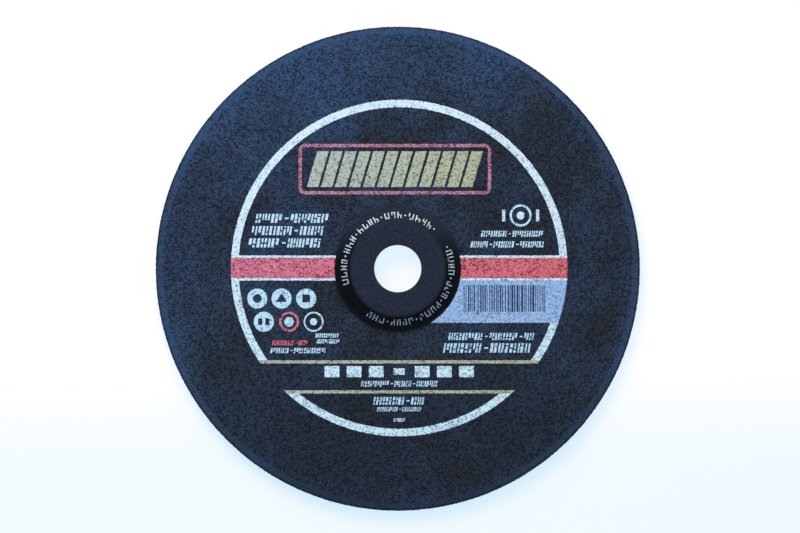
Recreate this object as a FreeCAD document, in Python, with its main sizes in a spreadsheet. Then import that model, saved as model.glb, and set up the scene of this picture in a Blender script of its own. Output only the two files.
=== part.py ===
"""Depressed-centre grinding disc: a moulded wheel with a raised hub, its pressed bore ring, and the main
fields, framed plaque and row of blocks of its printed label.

Millimetres. The origin is on the bore's axis in the plane of the grinding face, on which the disc lies.
+Z points to the label side, where the hub stands proud, and +X is the printed label's right.
"""

import FreeCAD, Part
import os

import Sketcher

# Driving dimensions, in millimetres, with hub_slope in degrees
SIZES = {
    # The moulded wheel, with its rim thickness and the smooth band that the mould leaves round its rim
    "wheel_diameter": 230.0,
    "wheel_thickness": 7.0,
    "rim_band_width": 3.6,
    "rim_band_drop": 0.3,
    "rim_top_bevel": 0.6,
    "rim_bottom_bevel": 0.4,
    # The hub, raised on the label side: its land is measured to where it would meet the slope in a corner
    "hub_rise": 4.0,
    "hub_land_diameter": 44.8,
    "hub_slope": 34.0,
    "shoulder_radius": 8.5,
    "foot_radius": 3.0,
    # The recess under the hub, which takes the clamp nut
    "recess_depth": 4.6,
    "recess_floor_diameter": 44.0,
    "recess_floor_radius": 2.0,
    "recess_mouth_radius": 3.0,
    # The sheet-steel ring that lines the bore
    "bore_diameter": 22.23,
    "ring_wall": 0.5,
    "ring_bend_radius": 0.6,
    "ring_flange_diameter": 32.0,
    "ring_end_drop": 0.2,
    "ring_clearance": 0.02,
    # The printed label: its ring, its band across the middle, its panel and its two lower lines
    "ink_thickness": 0.04,
    "print_diameter": 159.6,
    "print_offset": 0.65,
    "print_rise": 0.35,
    "print_hub_gap": 0.75,
    "print_ring_width": 3.55,
    "band_height": 9.6,
    "band_line_width": 1.15,
    "panel_height": 20.05,
    "gold_gap": 17.8,
    "gold_line_width": 1.5,
    "gold_line_spacing": 14.2,
    # The framed plaque between the hub and the printed ring, and its row of slanting stripes
    "plaque_crown_gap": 17.4,
    "plaque_ring_gap": 1.7,
    "plaque_hub_gap": 5.25,
    "plaque_offset": -2.05,
    "plaque_corner": 3.0,
    "plaque_frame_width": 1.6,
    "plaque_margin": 1.9,
    "stripe_width": 5.4,
    "stripe_gap": 1.25,
    "stripe_lean": 5.0,
    # The row of blocks under the upper gold line
    "block_width": 7.0,
    "block_height": 5.3,
    "block_gap": 3.5,
    "block_line_gap": 1.2,
    "middle_block_width": 5.2,
    "middle_block_height": 3.0,
    "middle_block_gap": 4.8,
}

# Lengths that several pieces share, as expressions over the sheet of sizes
RIM_RADIUS = "(Sizes.wheel_diameter / 2)"
BAND_START = f"({RIM_RADIUS} - Sizes.rim_band_width)"
HUB_HEIGHT = "(Sizes.wheel_thickness + Sizes.hub_rise)"
LAND_RADIUS = "(Sizes.hub_land_diameter / 2)"
FOOT_RADIUS = f"({LAND_RADIUS} + Sizes.hub_rise / tan(Sizes.hub_slope))"
FLOOR_RADIUS = "(Sizes.recess_floor_diameter / 2)"
MOUTH_RADIUS = f"({FLOOR_RADIUS} + Sizes.recess_depth / tan(Sizes.hub_slope))"
BORE_RADIUS = "(Sizes.bore_diameter / 2)"
TUBE_RADIUS = f"({BORE_RADIUS} + Sizes.ring_wall)"
FLANGE_RADIUS = "(Sizes.ring_flange_diameter / 2)"
FLANGE_TOP = "(Sizes.recess_depth + Sizes.ring_wall)"
HOLE_RADIUS = f"({TUBE_RADIUS} + Sizes.ring_clearance)"
POCKET_RADIUS = f"({FLANGE_RADIUS} + Sizes.ring_clearance)"
POCKET_TOP = f"({FLANGE_TOP} + Sizes.ring_clearance)"
TUBE_END = f"({HUB_HEIGHT} - Sizes.ring_end_drop)"

# Outside, the ring's bend is round. Inside, where it is buried, it is the flat that keeps the sheet's wall.
OUTER_BEND = "(Sizes.ring_bend_radius + Sizes.ring_wall)"
INNER_BEND = "(Sizes.ring_bend_radius * (2 - sqrt(2)))"

# The most that a blend may take of the slope that it runs into
SHOULDER_SHARE = 0.6
FOOT_SHARE = 0.35
CORNER_SHARE = 0.4

# The printed ring, the circle round the axis that is left bare for the hub, and the heights in the print
PRINT_RADIUS = "(Sizes.print_diameter / 2)"
PRINT_RING_INSIDE = f"({PRINT_RADIUS} - Sizes.print_ring_width)"
FOOT_END = f"({FOOT_RADIUS} + Sizes.foot_radius * tan(Sizes.hub_slope / 2))"
PRINT_FREE_RADIUS = f"({FOOT_END} + Sizes.print_hub_gap)"
BAND_HALF = "(Sizes.band_height / 2)"
BAND_EDGE = f"({BAND_HALF} + Sizes.band_line_width)"
PANEL_BOTTOM = f"(-{BAND_EDGE} - Sizes.panel_height)"
GOLD_UPPER = f"({PANEL_BOTTOM} - Sizes.gold_gap)"
GOLD_LOWER = f"({GOLD_UPPER} - Sizes.gold_line_spacing)"

# The plaque stands over the hub and reaches the ring's gap with an upper corner, and stripes fill its frame
PLAQUE_BOTTOM = f"({PRINT_FREE_RADIUS} - Sizes.print_rise + Sizes.plaque_hub_gap)"
PLAQUE_TOP = f"({PRINT_RING_INSIDE} - Sizes.plaque_crown_gap)"
CORNER_REACH = f"({PRINT_RING_INSIDE} - Sizes.plaque_ring_gap - Sizes.plaque_corner)"
CORNER_RISE = f"({PLAQUE_TOP} - Sizes.plaque_corner)"
CORNER_SIDE = f"(sqrt(pow({CORNER_REACH}; 2) - pow({CORNER_RISE}; 2)) - abs(Sizes.plaque_offset))"
PLAQUE_HALF = f"({CORNER_SIDE} + Sizes.plaque_corner)"
PLAQUE_LEFT = f"(Sizes.plaque_offset - {PLAQUE_HALF})"
PLAQUE_RIGHT = f"(Sizes.plaque_offset + {PLAQUE_HALF})"
STRIPE_INSET = "(Sizes.plaque_frame_width + Sizes.plaque_margin)"
STRIPE_PITCH = "(Sizes.stripe_width + Sizes.stripe_gap)"
STRIPE_ROOM = f"(2 * {PLAQUE_HALF} - 2 * {STRIPE_INSET} - Sizes.stripe_lean + Sizes.stripe_gap)"

# The row of blocks: its top, its middle, and how many full blocks stand on each side of the small one
BLOCK_TOP = f"({GOLD_UPPER} - Sizes.gold_line_width - Sizes.block_line_gap)"
BLOCK_MIDDLE = f"({BLOCK_TOP} - Sizes.block_height / 2)"
BLOCKS_EACH_SIDE = 3

FULL_TURN = 360
MATCH = 1e-4


def make_sheet(document):
    """Write the driving dimensions into a sheet, each with its alias."""
    sheet = document.addObject("Spreadsheet::Sheet", "Sizes")
    for row, (alias, value) in enumerate(SIZES.items(), start=1):
        sheet.set(f"A{row}", alias)
        sheet.set(f"B{row}", str(value))
        sheet.setAlias(f"B{row}", alias)
    document.recompute()
    return sheet


def measure(document, expression):
    """Give the length that an expression over the sheet stands for."""
    return float(document.Sizes.evalExpression(expression))


def origin_plane(body, role):
    """Find one of a body's own origin planes by its role."""
    return next(plane for plane in body.Origin.OriginFeatures if plane.Role == role)


def bind(sketch, kind, line, expression):
    """Dimension a line's first point from the origin, with its length tied to the sheet."""
    length = measure(sketch.Document, expression)
    index = sketch.addConstraint(Sketcher.Constraint(kind, -1, 1, line, 1, length))
    sketch.setExpression(f"Constraints[{index}]", expression)


def revolve_section(body, name, corners):
    """Draw a closed section of straight lines in the XZ plane and turn it about Z.

    Each corner is (radius, height) as expressions, with None for a height of zero. A corner that shares a
    value with the one before it is held level or upright with it, and any other is dimensioned.
    """
    document = body.Document
    sketch = body.newObject("Sketcher::SketchObject", f"{name}_section")
    sketch.AttachmentSupport = [(origin_plane(body, "XZ_Plane"), "")]
    sketch.MapMode = "FlatFace"
    document.recompute()
    points = [
        FreeCAD.Vector(measure(document, radius), measure(document, height) if height else 0.0, 0)
        for radius, height in corners
    ]
    for start, end in zip(points, points[1:] + points[:1]):
        sketch.addGeometry(Part.LineSegment(start, end), False)
    for line in range(len(corners)):
        following = (line + 1) % len(corners)
        sketch.addConstraint(Sketcher.Constraint("Coincident", line, 2, following, 1))
    for line, (radius, height) in enumerate(corners):
        before = line - 1
        if line and radius == corners[before][0]:
            sketch.addConstraint(Sketcher.Constraint("Vertical", before))
        else:
            bind(sketch, "DistanceX", line, radius)
        if line and height == corners[before][1]:
            sketch.addConstraint(Sketcher.Constraint("Horizontal", before))
        elif height is None:
            sketch.addConstraint(Sketcher.Constraint("PointOnObject", line, 1, -1))
        else:
            bind(sketch, "DistanceY", line, height)
    turn = body.newObject("PartDesign::Revolution", f"{name}_turned")
    turn.Profile = sketch
    turn.ReferenceAxis = (sketch, ["V_Axis"])
    turn.Angle = FULL_TURN
    sketch.Visibility = False
    document.recompute()
    return turn


def ring_edges(shape, radius, height):
    """Name the circular edges that lie at a radius and a height."""
    names = []
    for number, edge in enumerate(shape.Edges, start=1):
        curve = edge.Curve
        if not isinstance(curve, Part.Circle):
            continue
        if abs(curve.Radius - radius) < MATCH and abs(curve.Center.z - height) < MATCH:
            names.append(f"Edge{number}")
    return names


def dress(body, kind, name, corner, property_name, amount):
    """Dress the circular edge at a section's corner, with its size tied to the sheet."""
    document = body.Document
    base = body.Tip
    reach, height = (measure(document, value) if value else 0.0 for value in corner)
    feature = body.newObject(kind, name)
    feature.Base = (base, ring_edges(base.Shape, reach, height))
    feature.setExpression(property_name, amount)
    document.recompute()
    return feature


def blend(body, name, corner, radius):
    """Round an edge."""
    return dress(body, "PartDesign::Fillet", name, corner, "Radius", radius)


def bevel(body, name, corner, size):
    """Take an edge off at 45 degrees, or fill an inside corner so."""
    return dress(body, "PartDesign::Chamfer", name, corner, "Size", size)


def slope_blend(radius, rise, share):
    """Limit a blend's radius to a share of the slope that climbs by rise."""
    room = f"{rise} / sin(Sizes.hub_slope) / tan(Sizes.hub_slope / 2)"
    return f"min({radius}; {share} * {room})"


def make_wheel(document):
    """Mould the wheel: rim, flat label face, raised hub, bore, and the recess under the hub."""
    body = document.addObject("PartDesign::Body", "abrasive_wheel")
    body.Label = "abrasive_wheel"
    rim_foot = (RIM_RADIUS, None)
    rim_top = (RIM_RADIUS, "(Sizes.wheel_thickness - Sizes.rim_band_drop)")
    band_start = (BAND_START, "Sizes.wheel_thickness")
    hub_foot = (FOOT_RADIUS, "Sizes.wheel_thickness")
    shoulder = (LAND_RADIUS, HUB_HEIGHT)
    bore_edge = (HOLE_RADIUS, HUB_HEIGHT)
    pocket_corner = (HOLE_RADIUS, POCKET_TOP)
    pocket_wall = (POCKET_RADIUS, POCKET_TOP)
    pocket_edge = (POCKET_RADIUS, "Sizes.recess_depth")
    floor_edge = (FLOOR_RADIUS, "Sizes.recess_depth")
    mouth = (MOUTH_RADIUS, None)
    section = [
        rim_foot,
        rim_top,
        band_start,
        hub_foot,
        shoulder,
        bore_edge,
        pocket_corner,
        pocket_wall,
        pocket_edge,
        floor_edge,
        mouth,
    ]
    revolve_section(body, "wheel", section)
    shoulder_size = slope_blend("Sizes.shoulder_radius", "Sizes.hub_rise", SHOULDER_SHARE)
    foot_size = slope_blend("Sizes.foot_radius", "Sizes.hub_rise", FOOT_SHARE)
    floor_size = slope_blend("Sizes.recess_floor_radius", "Sizes.recess_depth", CORNER_SHARE)
    mouth_size = slope_blend("Sizes.recess_mouth_radius", "Sizes.recess_depth", CORNER_SHARE)
    blend(body, "hub_shoulder", shoulder, shoulder_size)
    blend(body, "hub_foot", hub_foot, foot_size)
    blend(body, "recess_corner", floor_edge, floor_size)
    blend(body, "recess_mouth", mouth, mouth_size)
    bevel(body, "rim_top_edge", rim_top, "Sizes.rim_top_bevel")
    bevel(body, "rim_bottom_edge", rim_foot, "Sizes.rim_bottom_bevel")
    bevel(body, "ring_seat", pocket_corner, f"{INNER_BEND} - Sizes.ring_clearance")
    return body


def make_bore_ring(document):
    """Press the sheet-steel ring: a tube through the hub, bent out into a flange in the recess's floor."""
    body = document.addObject("PartDesign::Body", "bore_ring")
    body.Label = "bore_ring"
    mouth = (BORE_RADIUS, "Sizes.recess_depth")
    inside_bend = (TUBE_RADIUS, FLANGE_TOP)
    section = [
        mouth,
        (FLANGE_RADIUS, "Sizes.recess_depth"),
        (FLANGE_RADIUS, FLANGE_TOP),
        inside_bend,
        (TUBE_RADIUS, TUBE_END),
        (BORE_RADIUS, TUBE_END),
    ]
    revolve_section(body, "ring", section)
    blend(body, "outer_bend", mouth, OUTER_BEND)
    bevel(body, "inner_bend", inside_bend, INNER_BEND)
    return body


def ink_disc(document, name, radius, across="0", up="0"):
    """Lay a round film of ink on the label face, at a place from the print's own centre."""
    disc = document.addObject("Part::Cylinder", name)
    disc.setExpression("Radius", radius)
    disc.setExpression("Height", "Sizes.ink_thickness")
    disc.setExpression("Placement.Base.x", f"Sizes.print_offset + {across}")
    disc.setExpression("Placement.Base.y", f"Sizes.print_rise + {up}")
    disc.setExpression("Placement.Base.z", "Sizes.wheel_thickness")
    return disc


def ink_strip(document, name, low, high, left=f"-{PRINT_RADIUS}", right=PRINT_RADIUS):
    """Lay a strip of ink across the label, between two heights and two ends from the print's centre."""
    strip = document.addObject("Part::Box", name)
    strip.setExpression("Length", f"{right} - ({left})")
    strip.setExpression("Width", f"{high} - ({low})")
    strip.setExpression("Height", "Sizes.ink_thickness")
    strip.setExpression("Placement.Base.x", f"Sizes.print_offset + ({left})")
    strip.setExpression("Placement.Base.y", f"Sizes.print_rise + ({low})")
    strip.setExpression("Placement.Base.z", "Sizes.wheel_thickness")
    return strip


def ink_stripe(document, name, start):
    """Lay one slanting stripe of the plaque, given its foot's left end from the print's centre."""
    stripe = document.addObject("Part::Wedge", name)
    foot, head = f"Sizes.print_offset + {start}", f"Sizes.print_offset + {start} + Sizes.stripe_lean"
    bottom, top = "Sizes.wheel_thickness", "Sizes.wheel_thickness + Sizes.ink_thickness"
    sides = {
        "Xmin": foot,
        "Xmax": f"{foot} + Sizes.stripe_width",
        "X2min": head,
        "X2max": f"{head} + Sizes.stripe_width",
        "Ymin": f"Sizes.print_rise + {PLAQUE_BOTTOM} + {STRIPE_INSET}",
        "Ymax": f"Sizes.print_rise + {PLAQUE_TOP} - {STRIPE_INSET}",
        "Zmin": bottom,
        "Z2min": bottom,
        "Zmax": top,
        "Z2max": top,
    }
    for side, value in sides.items():
        stripe.setExpression(side, value)
    return stripe


def cut(document, name, base, tool):
    """Take one film out of another."""
    result = document.addObject("Part::Cut", name)
    result.Base = base
    result.Tool = tool
    return result


def join(document, name, films):
    """Join films of one colour."""
    result = document.addObject("Part::MultiFuse", name)
    result.Shapes = films
    result.Refine = True
    return result


def trim(document, name, base, field):
    """Keep what lies in the printed field, which is round outside and clear of the hub."""
    result = document.addObject("Part::MultiCommon", name)
    result.Shapes = [base, field]
    result.Label = name
    return result


def make_field(document, name):
    """Make the round field that holds the whole label, clear of the hub in the middle of the wheel."""
    whole = ink_disc(document, f"{name}_disc", PRINT_RADIUS)
    hub = ink_disc(document, f"{name}_hub", PRINT_FREE_RADIUS, "(-Sizes.print_offset)", "(-Sizes.print_rise)")
    return cut(document, name, whole, hub)


def block_row(document):
    """Lay the row of blocks under the upper gold line: a small one, and full ones on both sides of it."""
    half_width, half_height = "(Sizes.middle_block_width / 2)", "(Sizes.middle_block_height / 2)"
    low, high = f"{BLOCK_MIDDLE} - {half_height}", f"{BLOCK_MIDDLE} + {half_height}"
    films = [ink_strip(document, "block_middle", low, high, f"-{half_width}", half_width)]
    low = f"{BLOCK_TOP} - Sizes.block_height"
    for place in range(BLOCKS_EACH_SIDE):
        step = f"{place} * (Sizes.block_width + Sizes.block_gap)"
        near = f"({half_width} + Sizes.middle_block_gap + {step})"
        far = f"({near} + Sizes.block_width)"
        films.append(ink_strip(document, f"block_left_{place + 1}", low, BLOCK_TOP, f"-{far}", f"-{near}"))
        films.append(ink_strip(document, f"block_right_{place + 1}", low, BLOCK_TOP, near, far))
    return films


def make_white_print(document):
    """Print the silver-white ring, the white lines above and below the band, and the row of blocks.

    The ring gives way to the band, to the panel on the right, and between the two gold lines.
    """
    outside = ink_disc(document, "white_outside", PRINT_RADIUS)
    inside = ink_disc(document, "white_inside", PRINT_RING_INSIDE)
    ring = cut(document, "white_ring", outside, inside)
    panel_gap = ink_strip(document, "white_panel_gap", PANEL_BOTTOM, f"-{BAND_EDGE}", left="0")
    gold_gap = ink_strip(document, "white_gold_gap", f"{GOLD_LOWER} - Sizes.gold_line_width", GOLD_UPPER)
    arcs = cut(document, "white_arcs", cut(document, "white_open", ring, panel_gap), gold_gap)
    lines = [
        ink_strip(document, "white_line_over", BAND_HALF, BAND_EDGE),
        ink_strip(document, "white_line_under", f"-{BAND_EDGE}", f"-{BAND_HALF}"),
    ]
    band_gap = ink_strip(document, "white_band_gap", f"-{BAND_HALF}", BAND_HALF)
    films = [arcs, *lines, *block_row(document)]
    drawn = cut(document, "white_drawn", join(document, "white_all", films), band_gap)
    return trim(document, "white_print", drawn, make_field(document, "white_field"))


def plaque_plate(document, name, inset):
    """Lay the plaque's plate, set in from its edge: two crossed strips with a round in each corner."""
    corner = f"(Sizes.plaque_corner - {inset})"
    left, right = f"({PLAQUE_LEFT} + {inset})", f"({PLAQUE_RIGHT} - {inset})"
    low, high = f"({PLAQUE_BOTTOM} + {inset})", f"({PLAQUE_TOP} - {inset})"
    films = [
        ink_strip(document, f"{name}_across", f"{low} + {corner}", f"{high} - {corner}", left, right),
        ink_strip(document, f"{name}_upright", low, high, f"{left} + {corner}", f"{right} - {corner}"),
    ]
    for side, across in (("left", f"({left} + {corner})"), ("right", f"({right} - {corner})")):
        for end, up in (("low", f"{low} + {corner}"), ("high", f"{high} - {corner}")):
            films.append(ink_disc(document, f"{name}_{side}_{end}", corner, across, up))
    return join(document, name, films)


def make_red_print(document):
    """Print the red band that crosses the label on both sides of the hub, and the plaque's frame."""
    band = ink_strip(document, "red_band", f"-{BAND_HALF}", BAND_HALF)
    plate = plaque_plate(document, "plaque_plate", "0")
    inside = plaque_plate(document, "plaque_inside", "Sizes.plaque_frame_width")
    frame = cut(document, "plaque_frame", plate, inside)
    drawn = join(document, "red_drawn", [band, frame])
    return trim(document, "red_print", drawn, make_field(document, "red_field"))


def make_blue_print(document):
    """Print the light blue panel at the lower right."""
    panel = ink_strip(document, "blue_panel", PANEL_BOTTOM, f"-{BAND_EDGE}", left="0")
    return trim(document, "blue_print", panel, make_field(document, "blue_field"))


def make_gold_print(document):
    """Print the two gold lines across the lower part of the label, and the plaque's row of stripes."""
    films = [
        ink_strip(document, f"gold_line_{place}", f"{level} - Sizes.gold_line_width", level)
        for place, level in (("upper", GOLD_UPPER), ("lower", GOLD_LOWER))
    ]
    count = int(measure(document, f"{STRIPE_ROOM} / {STRIPE_PITCH}"))
    row = f"({count} * {STRIPE_PITCH} - Sizes.stripe_gap + Sizes.stripe_lean)"
    for place in range(count):
        start = f"(Sizes.plaque_offset - {row} / 2 + {place} * {STRIPE_PITCH})"
        films.append(ink_stripe(document, f"plaque_stripe_{place + 1}", start))
    drawn = join(document, "gold_drawn", films)
    return trim(document, "gold_print", drawn, make_field(document, "gold_field"))


def check(document, pieces):
    """Stop where an object failed to build or a piece isn't a sound solid."""
    for item in document.Objects:
        if "Invalid" in item.State or "Error" in item.State:
            raise RuntimeError(f"{item.Name} failed: {item.State}")
    for piece in pieces:
        shape = piece.Shape
        if shape.isNull() or not shape.isValid() or not shape.Solids:
            raise RuntimeError(f"{piece.Label} is not a valid solid")


def export(pieces):
    """Write each piece to its own STEP file and print what it measures."""
    os.makedirs("parts", exist_ok=True)
    for piece in pieces:
        shape = piece.Shape
        shape.exportStep(os.path.join("parts", f"{piece.Label}.step"))
        box = shape.optimalBoundingBox()
        size = " x ".join(f"{length:.2f}" for length in (box.XLength, box.YLength, box.ZLength))
        print(f"{piece.Label}: {len(shape.Solids)} solid(s), {size}, {shape.Volume:.1f} mm3")


def main():
    """Build the disc and write its parts."""
    document = FreeCAD.newDocument("grinding_disc")
    make_sheet(document)
    pieces = [
        make_wheel(document),
        make_bore_ring(document),
        make_white_print(document),
        make_red_print(document),
        make_blue_print(document),
        make_gold_print(document),
    ]
    document.recompute()
    check(document, pieces)
    export(pieces)


main()
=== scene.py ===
"""Looks of a 230 mm grinding disc: the moulded wheel, its pressed bore ring and its printed label.

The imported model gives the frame. Lengths are in millimetres wherever a name doesn't say otherwise, and are
turned to metres as a mesh is made. The origin is under the bore, the label looks up, and the print's own
centre lies a little to the right of the bore.
"""
from __future__ import annotations

import logging
import math
from collections.abc import Callable, Sequence
from dataclasses import dataclass, field
from enum import Enum
from typing import ClassVar, Union
import bpy
import numpy as np
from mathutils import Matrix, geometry


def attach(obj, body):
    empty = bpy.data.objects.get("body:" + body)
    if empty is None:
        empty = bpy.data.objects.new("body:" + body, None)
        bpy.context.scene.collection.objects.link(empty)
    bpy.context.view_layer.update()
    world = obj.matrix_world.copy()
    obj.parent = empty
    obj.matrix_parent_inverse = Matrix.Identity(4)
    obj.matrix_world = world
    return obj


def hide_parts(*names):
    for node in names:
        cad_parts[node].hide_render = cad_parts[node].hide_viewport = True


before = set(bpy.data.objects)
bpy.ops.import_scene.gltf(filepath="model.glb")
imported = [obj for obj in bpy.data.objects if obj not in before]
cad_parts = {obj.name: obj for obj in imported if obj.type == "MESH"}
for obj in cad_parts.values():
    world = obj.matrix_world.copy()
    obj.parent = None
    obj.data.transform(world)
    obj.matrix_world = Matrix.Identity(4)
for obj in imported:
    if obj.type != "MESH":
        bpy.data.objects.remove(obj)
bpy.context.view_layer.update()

log = logging.getLogger("grinding_disc")

MM = 0.001
FULL_TURN = 2.0 * math.pi
SHARP_ANGLE = math.radians(38)
MERGE_DISTANCE = 1e-5

Pair = tuple[float, float]
Triple = tuple[float, float, float]
Point = Pair
Place = Triple
Box = tuple[float, float, float, float]
Triangle = tuple[int, int, int]
End = tuple[float, int]
Light = tuple[float, float, float, float]
Socket = bpy.types.NodeSocket

PRINT_CENTRE: Point = (0.65, 0.35)
LEFT, DOWN, UP_LEFT = (-1.0, 0.0), (0.0, -1.0), (-0.5, 0.87)
NO_LIGHT: Light = (0.0, 0.0, 0.0, 1.0)
FULL_LIGHT: Light = (1.0, 1.0, 1.0, 1.0)


class Zone(Enum):
    """The stretches of the wheel's section that differ in grain and finish."""

    HUB = "hub"
    FACE = "face"
    BAND = "band"
    RIM = "rim"
    BACK = "back"
    SEAT = "seat"


class Side(Enum):
    """The sides of the wheel, each with the place of its finish among the wheel's materials."""

    LABEL = 0
    RIM = 1
    GRINDING = 2


class Ink(Enum):
    """The inks of the label, by their slot names."""

    WHITE = "white_ink"
    RED = "red_ink"
    BLUE = "blue_ink"
    GOLD = "gold_ink"


@dataclass(frozen=True)
class Colour:
    """A colour as a screen shows it, from 0 to 255 a channel."""

    red: int
    green: int
    blue: int

    def linear(self) -> Light:
        """Turn the colour to light by the screen's standard curve.

        Returns:
            Red, green and blue from 0 to 1, with full alpha.
        """
        parts = [channel / 255 for channel in (self.red, self.green, self.blue)]
        bent = [part / 12.92 if part < 0.04045 else ((part + 0.055) / 1.055) ** 2.4 for part in parts]
        return bent[0], bent[1], bent[2], 1.0

    def scaled(self, factor: float) -> Colour:
        """Give the colour made darker or lighter by a factor."""
        return Colour(*(min(255, round(channel * factor)) for channel in (self.red, self.green, self.blue)))


Feed = Union[Socket, Colour, float, Triple, Light]
Feeds = dict[Union[int, str], Feed]


class Graph:
    """Adds nodes to one tree and joins them."""

    MIX_SHARE, MIX_FIRST, MIX_SECOND, MIX_COLOUR = 0, 6, 7, 2

    def __init__(self, tree: bpy.types.NodeTree) -> None:
        """Work on that tree."""
        self.tree = tree

    def join(self, node: bpy.types.Node, feeds: Feeds) -> None:
        """Feed a node's inputs from other sockets, or with plain values.

        Args:
            node: the node whose inputs are fed.
            feeds: what feeds them, by the input's place or name.
        """
        for key, value in feeds.items():
            if isinstance(value, Socket):
                self.tree.links.new(value, node.inputs[key])
            else:
                node.inputs[key].default_value = value.linear() if isinstance(value, Colour) else value

    def node(self, kind: str, feeds: Feeds | None = None, **settings: object) -> bpy.types.Node:
        """Add a node, set its properties and feed its inputs.

        Args:
            kind: the node's type name.
            feeds: what feeds its inputs, by the input's place or name.
            settings: its properties by name.

        Returns:
            The new node.
        """
        made = self.tree.nodes.new(kind)
        for name, value in settings.items():
            setattr(made, name, value)
        self.join(made, feeds or {})
        return made

    def math(self, operation: str, *values: Feed, clamp: bool = False) -> Socket:
        """Work out a number from up to three others."""
        feeds = dict(enumerate(values))
        return self.node("ShaderNodeMath", feeds, operation=operation, use_clamp=clamp).outputs[0]

    def plus(self, first: Feed, second: Feed) -> Socket:
        """Add two numbers."""
        return self.math("ADD", first, second)

    def minus(self, first: Feed, second: Feed) -> Socket:
        """Take one number from another."""
        return self.math("SUBTRACT", first, second)

    def times(self, first: Feed, second: Feed) -> Socket:
        """Multiply two numbers."""
        return self.math("MULTIPLY", first, second)

    def times_plus(self, first: Feed, second: Feed, added: Feed) -> Socket:
        """Multiply two numbers and add a third."""
        return self.math("MULTIPLY_ADD", first, second, added)

    def larger(self, first: Feed, second: Feed) -> Socket:
        """Give the larger of two numbers."""
        return self.math("MAXIMUM", first, second)

    def vector(self, operation: str, *values: Feed) -> Socket:
        """Work out a vector from up to three others."""
        return self.node("ShaderNodeVectorMath", dict(enumerate(values)), operation=operation).outputs[0]

    def span(self, value: Feed, low: Feed, high: Feed, start: Feed = 0.0, end: Feed = 1.0) -> Socket:
        """Turn a value smoothly to one that is start at low and end at high, and stays so past them."""
        feeds = dict(enumerate((value, low, high, start, end)))
        return self.node("ShaderNodeMapRange", feeds, interpolation_type="SMOOTHSTEP").outputs[0]

    def mix(self, share: Feed, first: Feed, second: Feed) -> Socket:
        """Mix two colours, with all of the second at a share of 1."""
        feeds = {self.MIX_SHARE: share, self.MIX_FIRST: first, self.MIX_SECOND: second}
        return self.node("ShaderNodeMix", feeds, data_type="RGBA").outputs[self.MIX_COLOUR]

    def noise(self, place: Feed, scale: Feed, detail: float = 2.0, roughness: float = 0.5) -> Socket:
        """Give soft noise between 0 and 1 at a place."""
        feeds = {"Vector": place, "Scale": scale, "Detail": detail, "Roughness": roughness}
        return self.node("ShaderNodeTexNoise", feeds).outputs[0]

    def cells(self, place: Feed, scale: Feed) -> tuple[Socket, Socket]:
        """Divide space into grains.

        Args:
            place: the place that is asked for.
            scale: grains to a millimetre.

        Returns:
            The distance from the grain's middle, and a chance value between 0 and 1 for the grain.
        """
        made = self.node("ShaderNodeTexVoronoi", {"Vector": place, "Scale": scale})
        split = self.node("ShaderNodeSeparateColor", {0: made.outputs["Color"]})
        return made.outputs["Distance"], split.outputs[0]

    def place(self) -> Socket:
        """Give the place on the object, in millimetres."""
        feeds = {0: self.node("ShaderNodeTexCoord").outputs["Object"], "Scale": 1 / MM}
        return self.node("ShaderNodeVectorMath", feeds, operation="SCALE").outputs[0]

    def split(self, vector: Feed) -> tuple[Socket, Socket, Socket]:
        """Give a vector's three parts."""
        x, y, z = self.node("ShaderNodeSeparateXYZ", {0: vector}).outputs
        return x, y, z

    def radius(self, place: Feed) -> Socket:
        """Give the distance of a place from the wheel's axis."""
        feeds = {0: self.vector("MULTIPLY", place, (1.0, 1.0, 0.0))}
        return self.node("ShaderNodeVectorMath", feeds, operation="LENGTH").outputs["Value"]

    def along(self, place: Feed, way: Point) -> Socket:
        """Give how far a place lies from the axis in one direction across the wheel."""
        x, y, _ = self.split(place)
        return self.times_plus(x, way[0], self.times(y, way[1]))

    def bump(self, height: Feed, depth: float) -> Socket:
        """Give the normal of a relief of that depth."""
        return self.node("ShaderNodeBump", {"Distance": depth * MM, "Height": height}).outputs[0]


@dataclass(frozen=True)
class Ramp:
    """A smooth change of one value while another goes from low to high."""

    low: float
    high: float
    start: float = 0.0
    end: float = 1.0

    def over(self, graph: Graph, value: Feed) -> Socket:
        """Give the ramp's value at another value."""
        return graph.span(value, self.low, self.high, self.start, self.end)


def new_material(name: str) -> tuple[bpy.types.Material, Graph, bpy.types.Node]:
    """Start a material with a plain surface shader.

    Args:
        name: the material's name.

    Returns:
        The material, the graph of its nodes, and its surface shader.
    """
    material = bpy.data.materials.new(name)
    material.use_nodes = True
    return material, Graph(material.node_tree), material.node_tree.nodes["Principled BSDF"]


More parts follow.
